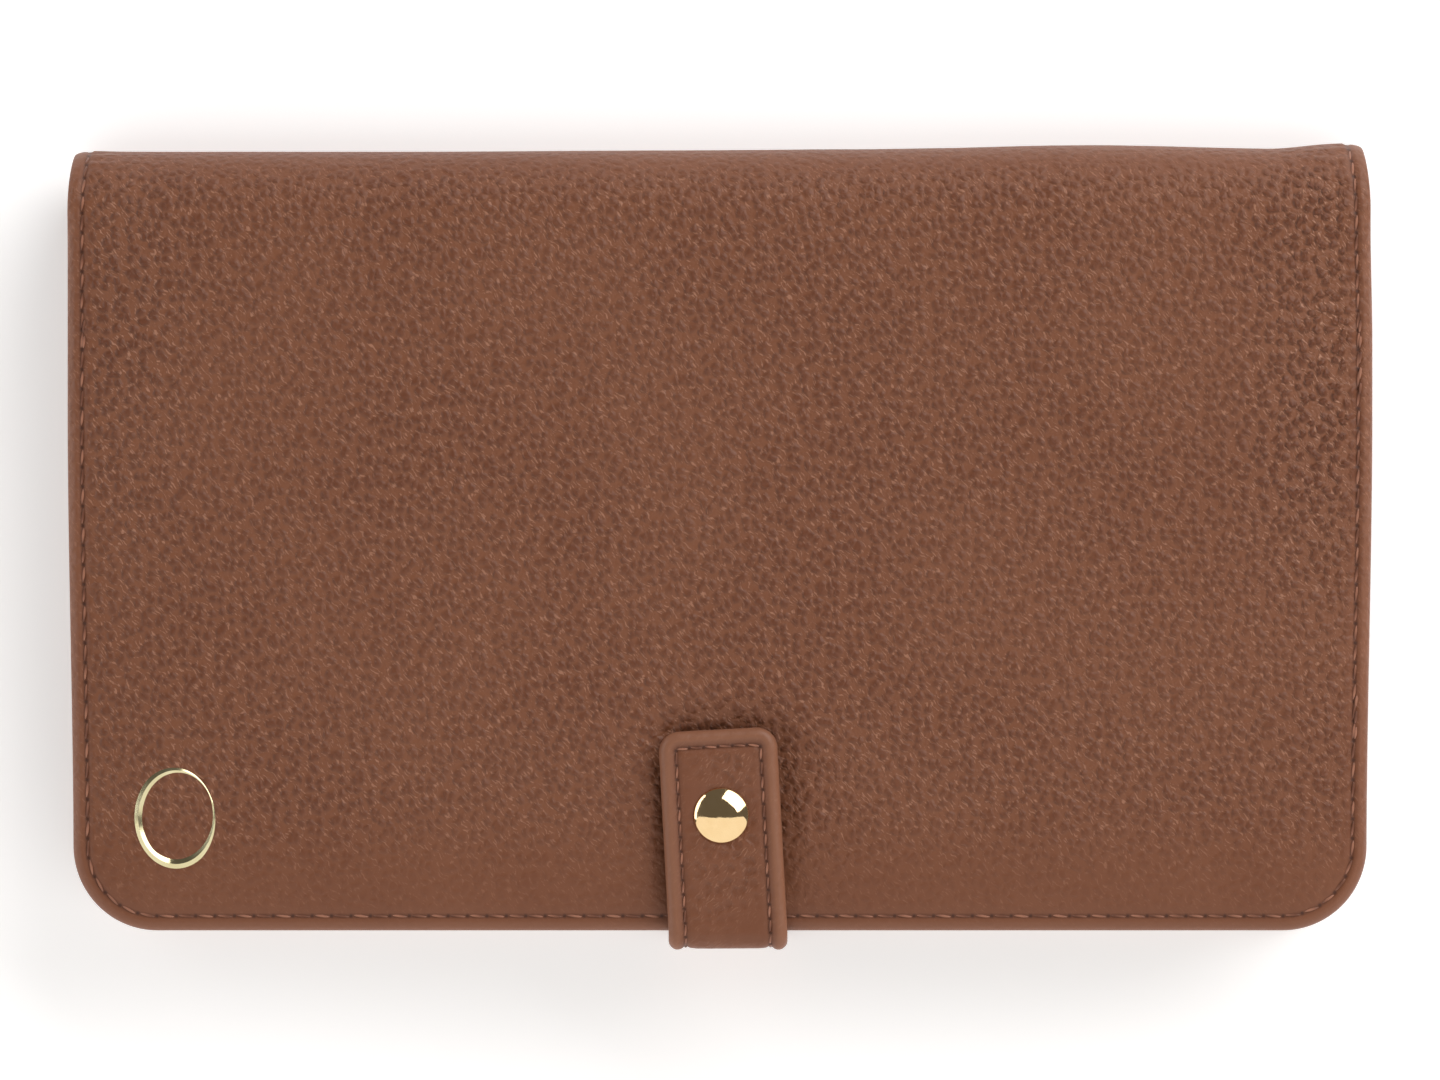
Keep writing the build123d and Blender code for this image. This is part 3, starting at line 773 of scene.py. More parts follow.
snap_low, snap_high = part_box("snap_cap")
snap_x, snap_y = (snap_low.x + snap_high.x) / 2, (snap_low.y + snap_high.y) / 2
snap_from_end = strap_end - snap_y


def strap_section(depth):
    """Round edges over the cord, a furrow along the seam, and a slightly raised middle."""
    edge_roll = 0.34 * mm * bell((depth - 1.35 * mm) / (0.95 * mm))
    furrow = 0.3 * mm * bell((depth - strap_inset) / (0.4 * mm))
    return edge_roll - furrow + 0.16 * mm * smooth((depth - strap_inset) / (2 * mm))


def strap_relief(x, t, depth, along):
    """The strap's section, with a dent that the snap's cap is pressed into."""
    from_snap = hypot(x - 0.4 * mm, t - snap_from_end)
    dent = 0.3 * mm * bell(max(0, from_snap - 3.6 * mm) / (1.1 * mm))
    lumps = 0.07 * mm * noise.noise((x / (7 * mm), t / (9 * mm), 11))
    return strap_section(depth) + lumps - dent * (1 if depth > strap_inset else 0.3)


def strap_low_relief(x, t, depth, along):
    """The same without the cap, thinning to nothing where it is sewn in."""
    return strap_section(depth) * smooth((t - tail_run + 1 * mm) / (4 * mm))


def strap_grain(x, t, depth):
    """Nearly smooth, with some grain left between the seam's rows."""
    patch = 0.5 + noise.noise((x / (9 * mm), t / (9 * mm), 3))
    return 0.2 + 0.9 * smooth((depth - strap_inset) / (3 * mm)) * patch


# the strap's rounded margins get a stronger painted highlight than the covers' rims
strap_hide = grained_leather(
    "strap_cow_leather", "6c3f28", "7f5039", "a3745b", "4a281a", 1.9, 0.2,
    (strap_pitch / mm, strap_inset / mm), rough=0.44, rim_highlight=0.34,
)
strap_skin, cord_gap = 0.4 * mm, 0.8 * mm
strap_lining_edge = (0.25 * mm, 0.25 * mm, 1.5 * mm)


def strap_lining_at(place, x, t, h):
    """Where a point of the strap's lining is, on the inner side of its leather."""
    return place(x, t + cord_gap, -1.75 * mm - h)


upper_ends = (0, strap_outside, strap_top - 5 * mm), (0, strap_outside + 5 * mm, strap_top)
lower_ends = (0, strap_outside + 4.5 * mm, strap_base), (0, strap_outside, strap_base + 4.5 * mm)
for name, length, place, relief, corner, old, lining_of, crossing in (
    (
        "strap_upper", upper_length, on_strap, strap_relief, strap_corner,
        ("strap_tip_leather", "strap_bridge_leather", "strap_thread"),
        ("strap_tip_lining", "strap_bridge_lining"), ("strap_bridge", "strap_tip", *upper_ends),
    ),
    (
        "strap_lower", strap_length - upper_length, on_strap_low, strap_low_relief, 1.6 * mm,
        ("strap_tail", "strap_bridge_leather"), ("strap_bridge_lining",),
        ("back", "strap_bridge", *lower_ends),
    ),
):
    bm = panel(
        strap_half, length, (corner, corner), strap_edge, (64, 150), relief, place, strap_inset,
        skin=strap_skin, shares=(0.3, 0.13),
    )
    leather = place_mesh(name + "_leather", bm, strap_hide)
    grain_amount(leather, strap_grain)
    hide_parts(*old)
    bm = panel(
        strap_half - cord_gap, length - cord_gap, (corner * 0.8, corner * 0.8), strap_lining_edge, (24, 60),
        no_relief, partial(strap_lining_at, place), strap_inset, skin=0.2 * mm, shares=(0.25, 0.12),
    )
    lining = place_mesh(name + "_lining", bm, brown_twill)
    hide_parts(*lining_of)
    # the seam goes round the free end in one run, and in two down the sides of the lower half
    where = partial(on_seam, strap_half, corner, strap_inset)
    sewn = seam_at(strap_half, corner, strap_inset, length)
    start = sewn - length + tail_run
    bm = bmesh.new()
    for low, high in ((-sewn, sewn),) if name == "strap_upper" else ((-sewn, -start), (start, sewn)):
        seam_row(bm, where, low, high, strap_pitch, place, -0.12 * mm, 0.2 * mm)
    seam = place_mesh(name + "_stitching", bm, brown_thread)
    for piece in (leather, lining, seam):
        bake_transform(piece)


# Snap: four pressed brass pieces with a polished pale gold plating. The domed cap is riveted through the
# strap to the socket under it; the stud is riveted through the front cover.


def belongs(piece, slot, body, *old):
    """Says what body a piece rides on and which solids it stands for; slot is not used."""
    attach(piece, body)
    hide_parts(*old)


def outline(base, *points):
    """Part of a round piece's outline: radius and height above base, both given in millimetres."""
    return [(r * mm, base + z * mm) for r, z in points]


def turned(name, profile, made, centre, steps=72):
    """A pressed round piece from its outline, given as radius and height from the axis outwards."""
    bm = bmesh.new()
    corners = [bm.verts.new((centre[0] + r, centre[1], z)) for r, z in profile]
    edges = [bm.edges.new(pair) for pair in zip(corners, corners[1:])]
    bmesh.ops.spin(
        bm, geom=corners + edges, cent=(centre[0], centre[1], 0), axis=(0, 0, 1), angle=2 * pi, steps=steps,
        use_merge=True,
    )
    bmesh.ops.remove_doubles(bm, verts=bm.verts[:], dist=0.001 * mm)
    bmesh.ops.recalc_face_normals(bm, faces=bm.faces[:])
    return place_mesh(name, bm, made)


def plated_metal(name, patch, detail, tones, rub, dents=0):
    """Plating on pressed or cast metal. Its tone and its gloss drift over patches of this many
    millimetres: rub is where the gloss begins to dull and its least and most roughness. dents is the
    depth in millimetres of the slight dents of pressing."""
    made, tree = material(name)
    place = node(tree, "TexCoord").outputs["Object"]
    wear = node(tree, "TexNoise", Vector=place, Scale=1 / (patch * mm), Detail=detail)
    rubbed = node(tree, "MapRange", Value=wear, From_Min=rub[0], From_Max=0.7, To_Min=rub[1], To_Max=rub[2])
    hue = node(tree, "Mix", {"data_type": "RGBA"}, _0=wear, _6=linear(tones[0]), _7=linear(tones[1]))
    shader = dict(Base_Color=hue.outputs[2], Metallic=1.0, Roughness=rubbed)
    if dents:
        dented = node(tree, "TexNoise", Vector=place, Scale=1 / (1.8 * mm), Detail=2.0)
        shader["Normal"] = node(tree, "Bump", Height=dented, Distance=dents * mm, Strength=0.5)
    return finish_material(made, tree, **shader)


# Polished pale gold plate: mirror bright, so it shows the lamps and the dark between them, with fine rub
# marks and slight dents that bend their edges.
pale_gold = plated_metal(
    "polished_pale_gold_plate", 1.5, 5.0, ("eac894", "f3d6a6"), (0.35, 0.045, 0.11), dents=0.05
)

cap_radius = (snap_high.x - snap_low.x) / 2
cap_foot, cap_peak = strap_top - 0.12 * mm, snap_high.z
cap_rise = cap_peak - cap_foot - 0.45 * mm
dome_radius = (cap_radius**2 + cap_rise**2) / (2 * cap_rise)
spread = atan2(cap_radius, dome_radius - cap_rise)
dome_steps = 22
dome_angles = [spread * i / dome_steps for i in range(dome_steps)]
dome = [(dome_radius * sin(a), cap_peak - dome_radius * (1 - cos(a))) for a in dome_angles]
rim_points = ((-0.04, 0.47), (0.05, 0.34), (0.06, 0.22), (0, 0.08), (-0.2, 0), (-0.5, 0.02))
rim = [(cap_radius + out * mm, cap_foot + up * mm) for out, up in rim_points]
rivet = outline(cap_foot, (1.0, 0.02)) + outline(strap_top, (1.0, -1.0), (0, -1.0))
cap = turned("snap_cap_dome", dome + rim + rivet, pale_gold, (snap_x, snap_y))
belongs(cap, "gold_metal", "strap_tip", "snap_cap")

socket_low, socket_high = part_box("snap_socket")
under = socket_low.z
socket_inside = outline(socket_high.z, (0, -0.35), (2.05, -0.35), (2.2, -0.5))
socket_lip = outline(under, (2.1, 0.75), (2.2, 0.3), (2.3, 0.05), (2.5, 0), (2.8, 0.08), (2.95, 0.4))
socket_flange = outline(under, (3.7, 0.45), (3.95, 0.55), (4.0, 0.7), (3.9, 0.85), (2.9, 0.9))
socket_shape = socket_inside + socket_lip + socket_flange + outline(socket_high.z, (2.9, 0), (0, 0))
socket = turned("snap_socket_ring", socket_shape, pale_gold, (snap_x, snap_y))
belongs(socket, "gold_metal", "strap_tip", "snap_socket")

stud_low, stud_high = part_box("snap_stud")
stud_head = outline(
    stud_high.z, (0, -0.25), (0.7, -0.25), (0.95, 0), (1.5, 0), (1.85, -0.3), (1.9, -0.6), (1.65, -0.95)
)
stud_foot = outline(
    stud_low.z, (1.65, 0.6), (1.9, 0.45), (3.2, 0.4), (3.55, 0.25), (3.6, 0.05), (3.5, -0.05), (0, -0.05)
)
stud = turned("snap_stud_post", stud_head + stud_foot, pale_gold, (snap_x, snap_y))
belongs(stud, "gold_metal", "front", "snap_stud")

repaint(pale_gold, "snap_post", "emblem_washers")


# Emblem: a plain oval ring of plated zinc with a roof-shaped face, held by two pins and washers.

ring_low, ring_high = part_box("emblem_ring")
ring_x, ring_y = (ring_low.x + ring_high.x) / 2, (ring_low.y + ring_high.y) / 2
ring_wide, ring_tall = ring_high.x - ring_low.x, ring_high.y - ring_low.y
ring_line = 1.15 * mm
ring_foot = wallet_top + front_crown * 0.55
ring_rise = 0.62 * mm
outer = ring_wide / 2

# Champagne gold plate: paler and a little greener than the snap's, brushed to a soft shine.
champagne = plated_metal("champagne_gold_plate", 2.2, 4.0, ("c9bd8e", "e4dcb6"), (0.3, 0.12, 0.26))

bm = bmesh.new()
section = [
    (outer, 0), (outer, ring_rise * 0.45), (outer - 0.1 * mm, ring_rise * 0.55),
    (outer - ring_line / 2, ring_rise), (outer - ring_line + 0.1 * mm, ring_rise * 0.55),
    (outer - ring_line, ring_rise * 0.45), (outer - ring_line, 0),
]
corners = [bm.verts.new((r, 0, z)) for r, z in section]
edges = [bm.edges.new(pair) for pair in zip(corners, corners[1:] + corners[:1])]
bmesh.ops.spin(
    bm, geom=corners + edges, cent=(0, 0, 0), axis=(0, 0, 1), angle=2 * pi, steps=120, use_merge=True
)
bmesh.ops.scale(bm, verts=bm.verts[:], vec=(1, ring_tall / ring_wide, 1))
bmesh.ops.translate(bm, verts=bm.verts[:], vec=(ring_x, ring_y, ring_foot))
bmesh.ops.recalc_face_normals(bm, faces=bm.faces[:])
emblem = place_mesh("emblem_oval", bm, champagne)
belongs(emblem, "gold_metal", "front", "emblem_ring")


# Note pockets: a full-length sheet of thin split leather inside each cover, sewn in with its seam and
# open along one long side, where the edge is turned and creased.

# Split leather: thin and plain, with a fine shallow grain and a duller finish than the covers.
# 8f614b is the colour of the painted highlights on its streaks
pocket_hide = grained_leather(
    "pocket_split_leather", "6b4029", "7b4c36", "8f614b", "351b10", 1.2, 0.07, None, rough=0.55
)
press = 0.25 * mm
pocket_margin, mouth_crease, notch_reach = 1.2 * mm, 1.3 * mm, 26 * mm


def round_off(bm, edges, offset, steps, clamp=False):
    """Rounds some edges of a piece, and with clamp no further than its faces allow."""
    bmesh.ops.bevel(
        bm, geom=edges, offset=offset, affect="EDGES", segments=steps, profile=0.5, material=-1,
        clamp_overlap=clamp,
    )


def cut_sheet(name, made, low, high, face, out, thick, drop, lines=((), ()), corner=0, holes=(), notch=None):
    """A sheet of leather or tape cut to a rectangle between two corners, with rounded edges. face is
    the height of its outer side and out is 1 when that looks up. drop says how far it is pressed down
    at each point, lines are extra cuts across x and y for that, and notch says how far its far edge is
    cut back."""
    bm = bmesh.new()
    bmesh.ops.create_grid(bm, x_segments=16, y_segments=8, size=0.5)
    size, middle = (high[0] - low[0], high[1] - low[1]), ((high[0] + low[0]) / 2, (high[1] + low[1]) / 2)
    bmesh.ops.scale(bm, verts=bm.verts[:], vec=(size[0], size[1], 1))
    bmesh.ops.translate(bm, verts=bm.verts[:], vec=(middle[0], middle[1], 0))
    cuts = [(v, axis) for axis in (0, 1) for v in lines[axis]]
    cuts += [(hole[i], i // 2) for hole in holes for i in range(4)]
    for value, axis in cuts:
        normal = (1 - axis, axis, 0)
        everything = bm.verts[:] + bm.edges[:] + bm.faces[:]
        bmesh.ops.bisect_plane(
            bm, geom=everything, dist=1e-6, plane_co=(value * (1 - axis), value * axis, 0), plane_no=normal
        )
    for x0, x1, y0, y1 in holes:
        centres = [(tile, tile.calc_center_median()) for tile in bm.faces]
        inside = [tile for tile, centre in centres if x0 < centre.x < x1 and y0 < centre.y < y1]
        bmesh.ops.delete(bm, geom=inside, context="FACES")
    for v in bm.verts:
        out_x, out_y = abs(v.co.x - middle[0]) - (size[0] / 2 - corner), low[1] + corner - v.co.y
        if corner and out_x > 0 and out_y > 0:
            shrink = max(out_x, out_y) / hypot(out_x, out_y)
            side = 1 if v.co.x > middle[0] else -1
            v.co.x -= side * out_x * (1 - shrink)
            v.co.y += out_y * (1 - shrink)
        if notch:
            v.co.y -= notch(v.co.x) * smooth((v.co.y - high[1]) / notch_reach + 1)
    copied = bmesh.ops.extrude_face_region(bm, geom=bm.faces[:])
    lower = [g for g in copied["geom"] if isinstance(g, bmesh.types.BMVert)]
    bmesh.ops.translate(bm, verts=lower, vec=(0, 0, -thick))
    bmesh.ops.recalc_face_normals(bm, faces=bm.faces[:])
    sharp = [e for e in bm.edges if e.calc_face_angle(0) > radians(60)]
    round_off(bm, sharp, thick * 0.38, 3, clamp=True)
    grain, seam = bm.loops.layers.uv.new("grain"), bm.loops.layers.uv.new("seam")
    for f in bm.faces:
        for loop in f.loops:
            loop[grain].uv = (loop.vert.co.x / mm, loop.vert.co.y / mm)
            loop[seam].uv = (0, 99)
    for v in bm.verts:
        v.co.z = face + out * (v.co.z - drop(v.co.x, v.co.y))
    if out < 0:
        bmesh.ops.reverse_faces(bm, faces=bm.faces[:])
    return place_mesh(name, bm, made)


def pressed_rim(low, high, margin, amount, mouth, crease=0.07 * mm):
    """How far a pocket is pressed down at each point: at its three sewn margins, and by a fine hot
    crease along its mouth, which is at the high end when mouth is 1."""

    def drop(x, y):
        inside = min(x - low[0], high[0] - x)
        closed = y - low[1] if mouth > 0 else high[1] - y
        opened = high[1] - y if mouth > 0 else y - low[1]
        sewn = 1 - smooth((min(inside, closed) - margin) / (1.6 * mm))
        return amount * sewn + crease * bell((opened - mouth_crease) / (0.22 * mm))

    return drop


def rim_lines(low, high, margin, mouth):
    """Where a pocket needs extra cuts for its pressed margins and its crease."""
    steps = [margin + i * 0.4 * mm for i in range(5)]
    fine = [mouth_crease + i * 0.14 * mm for i in range(-4, 5)]
    across = [low[0] + s for s in steps] + [high[0] - s for s in steps]
    if mouth > 0:
        return across, [low[1] + s for s in steps] + [high[1] - s for s in fine]
    return across, [high[1] - s for s in steps] + [low[1] + s for s in fine]


def pocket_piece(name, old, low, high, face, out, mouth, body, thick, amount=press, **more):
    """A flat leather pocket with its mouth at one end, riding one half of the wallet."""
    drop = more.pop("drop", None) or pressed_rim(low, high, pocket_margin, amount, mouth)
    lines = rim_lines(low, high, pocket_margin, mouth)
    piece = cut_sheet(name, pocket_hide, low, high, face, out, thick, drop, lines=lines, **more)
    grain_amount(piece, lambda x, t, depth: 1.0)
    belongs(piece, "pocket_leather", body, old)
    return piece


for name, out, mouth, body, corner in (
    ("back_note_pocket", 1, 1, "back", 10.5 * mm), ("front_note_pocket", -1, -1, "front", 3 * mm)
):
    low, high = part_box(name)
    face = high.z if out > 0 else low.z
    pocket_piece(name + "_sheet", name, low, high, face, out, mouth, body, 0.75 * mm, corner=corner)


# Card pockets: two columns of four, each a turned strip sewn down at its sides and far end, stepped
# like stairs so that every card's edge shows.

column_gap = 0.3 * mm
for side in ("left", "right"):
    for number in range(1, 5):
        name = f"card_pocket_{side}_{number}"
        low, high = (corner.copy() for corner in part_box(name))
        if low.x > 0:
            low.x = column_gap / 2
        else:
            high.x = -column_gap / 2
        pocket_piece(name + "_sheet", name, low, high, low.z, -1, -1, "front", high.z - low.z - press)


def path(*corners):
    """A way along straight legs from corner to corner, as a place for each length, and its length."""
    legs = []
    for start, end in zip(corners, corners[1:]):
        legs.append((Vector(start), Vector(end), (Vector(end) - Vector(start)).length))

    def where(along):
        for start, end, length in legs:
            if along <= length:
                return tuple(start.lerp(end, along / length))
            along -= length
        return tuple(legs[-1][1])

    return where, sum(leg[2] for leg in legs)


def on_level(height, out, x, y, h):
    """A point h out from a face whose height is a number, or a rule of x and y."""
    return x, y, (height(x, y) if callable(height) else height) + out * h


def rows_of_stitches(name, body, runs, out, pitch=2.4 * mm, radius=0.17 * mm):
    """Straight seams on flat leather, each a run of corners and a height, as one piece."""
    bm = bmesh.new()
    for corners, height in runs:
        where, length = path(*corners)
        seam_row(bm, where, 0, length, pitch, partial(on_level, height, out), 0.02 * mm, radius)
    piece = place_mesh(name, bm, brown_thread)
    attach(piece, body)
    return piece


runs = []
for side in ("left", "right"):
    for number in range(1, 5):
        low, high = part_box(f"card_pocket_{side}_{number}")
        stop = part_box(f"card_pocket_{side}_{number + 1}")[0].y if number < 4 else high.y - 1.5 * mm
        for x in (low.x + 0.9 * mm, high.x - 0.9 * mm):
            runs.append((((x, low.y + 1 * mm), (x, stop - 0.4 * mm)), low.z + press))
rows_of_stitches("card_pocket_stitching", "front", runs, -1)


# Coin pocket: a leather face sewn down to a cloth wall round its rim, so that it stands up like a thin
# box. A slot under the fold holds the zip.

face_low, face_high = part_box("coin_pocket_face")
strip_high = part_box("coin_pocket_top_strip")[1]
stop_low, stop_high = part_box("zip_stops")
zip_y = (stop_low.y + stop_high.y) / 2
coin_top = face_high.z
coin_sheet = 0.8 * mm
coin_corner = 9 * mm
coin_low, coin_high = Vector((face_low.x, face_low.y, 0)), Vector((face_high.x, strip_high.y, 0))
zip_window = 9 * mm
zip_hole = (stop_low.x, stop_high.x, face_high.y - zip_window, face_high.y)


def coin_drop(x, y):
    """The coin pocket's face sinks to its wall along its rim, and a little at the zip."""
    out_x, out_y = abs(x) - (coin_high.x - coin_corner), coin_low.y + coin_corner - y
    if out_x > 0 and out_y > 0:
        inside = coin_corner - hypot(out_x, out_y)
    else:
        inside = min(coin_high.x - abs(x), y - coin_low.y, coin_high.y - y)
    rim = (coin_top - face_low.z - coin_sheet) * (1 - smooth((inside - 0.4 * mm) / (3.2 * mm)))
    off_zip = max(zip_hole[2] - y, y - zip_hole[3], abs(x) - zip_hole[1])
    crease = 0.08 * mm * bell((off_zip - 2.4 * mm) / (0.25 * mm))
    swell = noise.noise((x / (38 * mm), y / (30 * mm), 4.0))
    fill = 0.25 * mm * swell * smooth((inside - 3 * mm) / (14 * mm))
    return rim + crease - (fill if y > 8 * mm else 0) * smooth(off_zip / (8 * mm))


rim_steps = [(0.4 + 0.55 * i) * mm for i in range(7)]
zip_steps = [(0.6 + 0.25 * i) * mm for i in range(12)]
cuts_x = [s * (coin_high.x - d) for s in (-1, 1) for d in rim_steps]
cuts_x += [s * (zip_hole[1] + d) for s in (-1, 1) for d in zip_steps]
cuts_y = [coin_low.y + d for d in rim_steps] + [zip_hole[2] - d for d in zip_steps]
cuts_y += [v * mm for v in range(6, 32, 3)]
coin_face = cut_sheet(
    "coin_pocket_leather", pocket_hide, coin_low, coin_high, coin_top, 1, coin_sheet, coin_drop,
    lines=(cuts_x, cuts_y), corner=coin_corner, holes=(zip_hole,),
)
grain_amount(coin_face, lambda x, t, depth: 1.2)
belongs(coin_face, "pocket_leather", "back", "coin_pocket_face", "coin_pocket_top_strip")

wall_low, wall_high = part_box("coin_pocket_wall")


def unpressed(x, y):
    """The cloth wall is not pressed down anywhere."""
    return 0


coin_wall = cut_sheet(
    "coin_pocket_cloth", brown_twill, wall_low, wall_high, wall_high.z, 1, wall_high.z - wall_low.z,
    unpressed, corner=coin_corner,
)
belongs(coin_wall, "lining_cloth", "back", "coin_pocket_wall")


def pressed_face(top, drop, x, y):
    """The height of a face that is pressed down by a rule."""
    return top - drop(x, y)


coin_surface = partial(pressed_face, coin_top, coin_drop)
coin_inset, slot_margin = 1.2 * mm, 1.3 * mm
left, right, near, far = (
    coin_low.x + coin_inset, coin_high.x - coin_inset, coin_low.y + coin_inset, coin_high.y - coin_inset
)
bend = coin_corner - coin_inset
turn = [(sin(radians(a)) * bend, cos(radians(a)) * bend) for a in range(0, 91, 15)]
rim_path = [(left, far)]
rim_path += [(left + bend - long, near + bend - short) for short, long in turn]
rim_path += [(right - bend + short, near + bend - long) for short, long in turn]
rim_path += [(right, far)]
west, east, south, north = (edge + side * slot_margin for edge, side in zip(zip_hole, (-1, 1, -1, 1)))
slot_path = [(west, south), (east, south), (east, north), (west, north), (west, south)]
rows_of_stitches("coin_pocket_stitching", "back", ((rim_path, coin_surface), (slot_path, coin_surface)), 1)


# Face pockets: an identity pocket whose frame holds a clear film, and beside it a slip pocket with a
# thumb notch in its mouth. Both are sewn on the coin pocket's face.

id_low, id_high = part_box("id_window_pocket")
film_low, film_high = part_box("id_window_film")
film_lap = 3 * mm
window = (film_low.x + film_lap, film_high.x - film_lap, film_low.y + film_lap, film_high.y - film_lap)
pocket_sheet = id_high.z - coin_top - 0.6 * mm


def on_coin_face(low, high, amount, near_window=False):
    """The press of a pocket sewn on the coin pocket's face, which it follows down at its edges."""
    rim = pressed_rim(low, high, pocket_margin, amount, 1)

    def drop(x, y):
        inside = min(x - low.x, high.x - x, y - low.y)
        crease = 0
        if near_window:
            off = max(window[0] - x, x - window[1], window[2] - y, y - window[3])
            crease = 0.06 * mm * bell((off - 1.1 * mm) / (0.22 * mm))
        return rim(x, y) + crease + coin_drop(x, y) * (1 - smooth((inside - 1 * mm) / (3 * mm)))

    return drop


pocket_piece(
    "id_pocket_frame", "id_window_pocket", id_low, id_high, id_high.z, 1, 1, "back", pocket_sheet,
    holes=(window,), drop=on_coin_face(id_low, id_high, id_high.z - coin_top - pocket_sheet, True),
)

slip_low, slip_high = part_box("slip_pocket")
notch_x, notch_radius = (slip_low.x + slip_high.x) / 2, 9 * mm


def thumb_notch(x):
    """How far the slip pocket's mouth is cut back at x: a half circle."""
    return (max(0.0, notch_radius**2 - (x - notch_x) ** 2)) ** 0.5


slip_press = on_coin_face(slip_low, slip_high, slip_high.z - coin_top - pocket_sheet)


def slip_drop(x, y):
    """The slip pocket's press, its crease following the notch."""
    cut = thumb_notch(x)
    return slip_press(x, y) * (0 if cut and y > slip_high.y - cut - 3 * mm else 1)


cuts_x, cuts_y = rim_lines(slip_low, slip_high, pocket_margin, 1)
cuts_x += [notch_x + notch_radius * sin(radians(a)) for a in range(-90, 91, 9)]
slip = cut_sheet(
    "slip_pocket_sheet", pocket_hide, slip_low, slip_high, slip_high.z, 1, pocket_sheet, slip_drop,
    lines=(cuts_x, cuts_y), notch=thumb_notch,
)
grain_amount(slip, lambda x, t, depth: 1.0)
belongs(slip, "pocket_leather", "back", "slip_pocket")

# Clear pressed PVC film: glossy, so faintly grey that it hardly dims what is behind it, and slightly
# wavy where it is stretched in its frame.
clear_film, tree = material("clear_pvc_film")
place = node(tree, "TexCoord")
waves = node(tree, "TexNoise", Vector=place.outputs["Object"], Scale=1 / (14 * mm), Detail=1.0)
bump = node(tree, "Bump", Height=waves, Distance=0.4 * mm, Strength=0.5)
finish_material(
    clear_film, tree, Base_Color=linear("a3a6a4"), Roughness=0.05, IOR=1.53, Specular_IOR_Level=1.0,
    Alpha=0.07, Normal=bump,
)


def film_slack(x, y):
    """The film lies a little slack in its frame."""
    return 0.12 * mm * noise.noise((x / (16 * mm), y / (12 * mm), 9)) - 0.04 * mm


cuts_x, cuts_y = ([film_low[axis] + 4 * i * mm for i in range(1, end)] for axis, end in ((0, 20), (1, 12)))
film = cut_sheet(
    "id_film", clear_film, film_low, film_high, film_high.z + 0.05 * mm, 1, 0.18 * mm, film_slack,
    lines=(cuts_x, cuts_y),
)
belongs(film, "clear_film", "back", "id_window_film")

face_inset = 1.0 * mm
runs = []
for low, high in ((id_low, id_high), (slip_low, slip_high)):
    base_drop = on_coin_face(low, high, high.z - coin_top - pocket_sheet)
    west, east, south = low.x + face_inset, high.x - face_inset, low.y + face_inset
    corners = ((west, high.y), (west, south), (east, south), (east, high.y))
    runs.append((corners, partial(pressed_face, high.z, base_drop)))
rows_of_stitches("face_pocket_stitching", "back", runs, 1)


# Zip: a brass zip of size three, its teeth clenched on the cord edge of two woven tapes, with a stop at
# each end. The slider and its pull are cast zinc, plated to match.

# Brass plate: warm yellow, shiny but softened by fine tumbling marks and a trace of tarnish.
zip_brass = plated_metal("brass_plated_zinc", 1.2, 5.0, ("dab373", "ebcb95"), (0.3, 0.17, 0.27))

tape_under = 3 * mm
zip_cloth = twill("brown_woven_zip_tape", "2c1a12", "47301f", 0.6)
tape_lap, cord_step, cord_rise = 0.5 * mm, 0.2 * mm, 0.22 * mm


def cord_rule(inner, x, y):
    """A tape stands up along the cord that its teeth are clenched on."""
    return -cord_rise * bell((y - inner) / (0.45 * mm))


for name in ("zip_tape_lower", "zip_tape_upper"):
    low, high = (corner.copy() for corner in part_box(name))
    low.x -= tape_under
    high.x += tape_under
    if name == "zip_tape_lower":
        inner, steps = high.y, range(-5, 3)
        high.y += tape_lap
    else:
        inner, steps = low.y, range(-2, 6)
        low.y -= tape_lap
    lines = ((), [inner + step * cord_step for step in steps])
    rule = partial(cord_rule, inner)
    tape = cut_sheet(name + "_woven", zip_cloth, low, high, high.z, 1, high.z - low.z, rule, lines=lines)
    belongs(tape, "zip_tape", "back", name)

row_low, row_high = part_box("zip_teeth_lower")
tooth_pitch, tooth_width, tooth_reach, tooth_bevel = 1.5 * mm, 0.68 * mm, 0.32 * mm, 0.16 * mm
tooth_length = zip_y - row_low.y + tooth_reach
tooth_z = (row_low.z + row_high.z) / 2
tooth = bmesh.new()
bmesh.ops.create_cube(tooth, size=1)
bmesh.ops.scale(tooth, vec=(tooth_width, tooth_length, row_high.z - row_low.z), verts=tooth.verts[:])
round_off(tooth, tooth.edges[:], tooth_bevel, 1)
# A tooth thins towards its head and has a neck behind it, where the other row's heads lie.
taper, root_wide, neck, neck_at = 0.28, 1.12, 0.3, 0.62
for v in tooth.verts:
    share = v.co.y / tooth_length + 0.5
    v.co.z *= 1 - taper * share
    v.co.x *= root_wide - neck * bell((share - neck_at) / 0.14)
tooth_mesh = bpy.data.meshes.new("tooth")
tooth.to_mesh(tooth_mesh)
tooth.free()
for name, side in (("zip_teeth_lower", -1), ("zip_teeth_upper", 1)):
    bm = bmesh.new()
    for i in range(int((row_high.x - row_low.x) / tooth_pitch)):
        before = len(bm.verts)
        bm.from_mesh(tooth_mesh)
        bm.verts.ensure_lookup_table()
        x = row_low.x + (i + 0.5 + 0.25 * side) * tooth_pitch
        middle = zip_y + side * (zip_y - row_low.y - tooth_length / 2)
        for v in bm.verts[before:]:
            v.co = (x + v.co.x, middle - side * v.co.y, tooth_z + v.co.z)
    bmesh.ops.recalc_face_normals(bm, faces=bm.faces[:])
    teeth = place_mesh(name + "_row", bm, zip_brass)
    belongs(teeth, "zip_metal", "back", name)

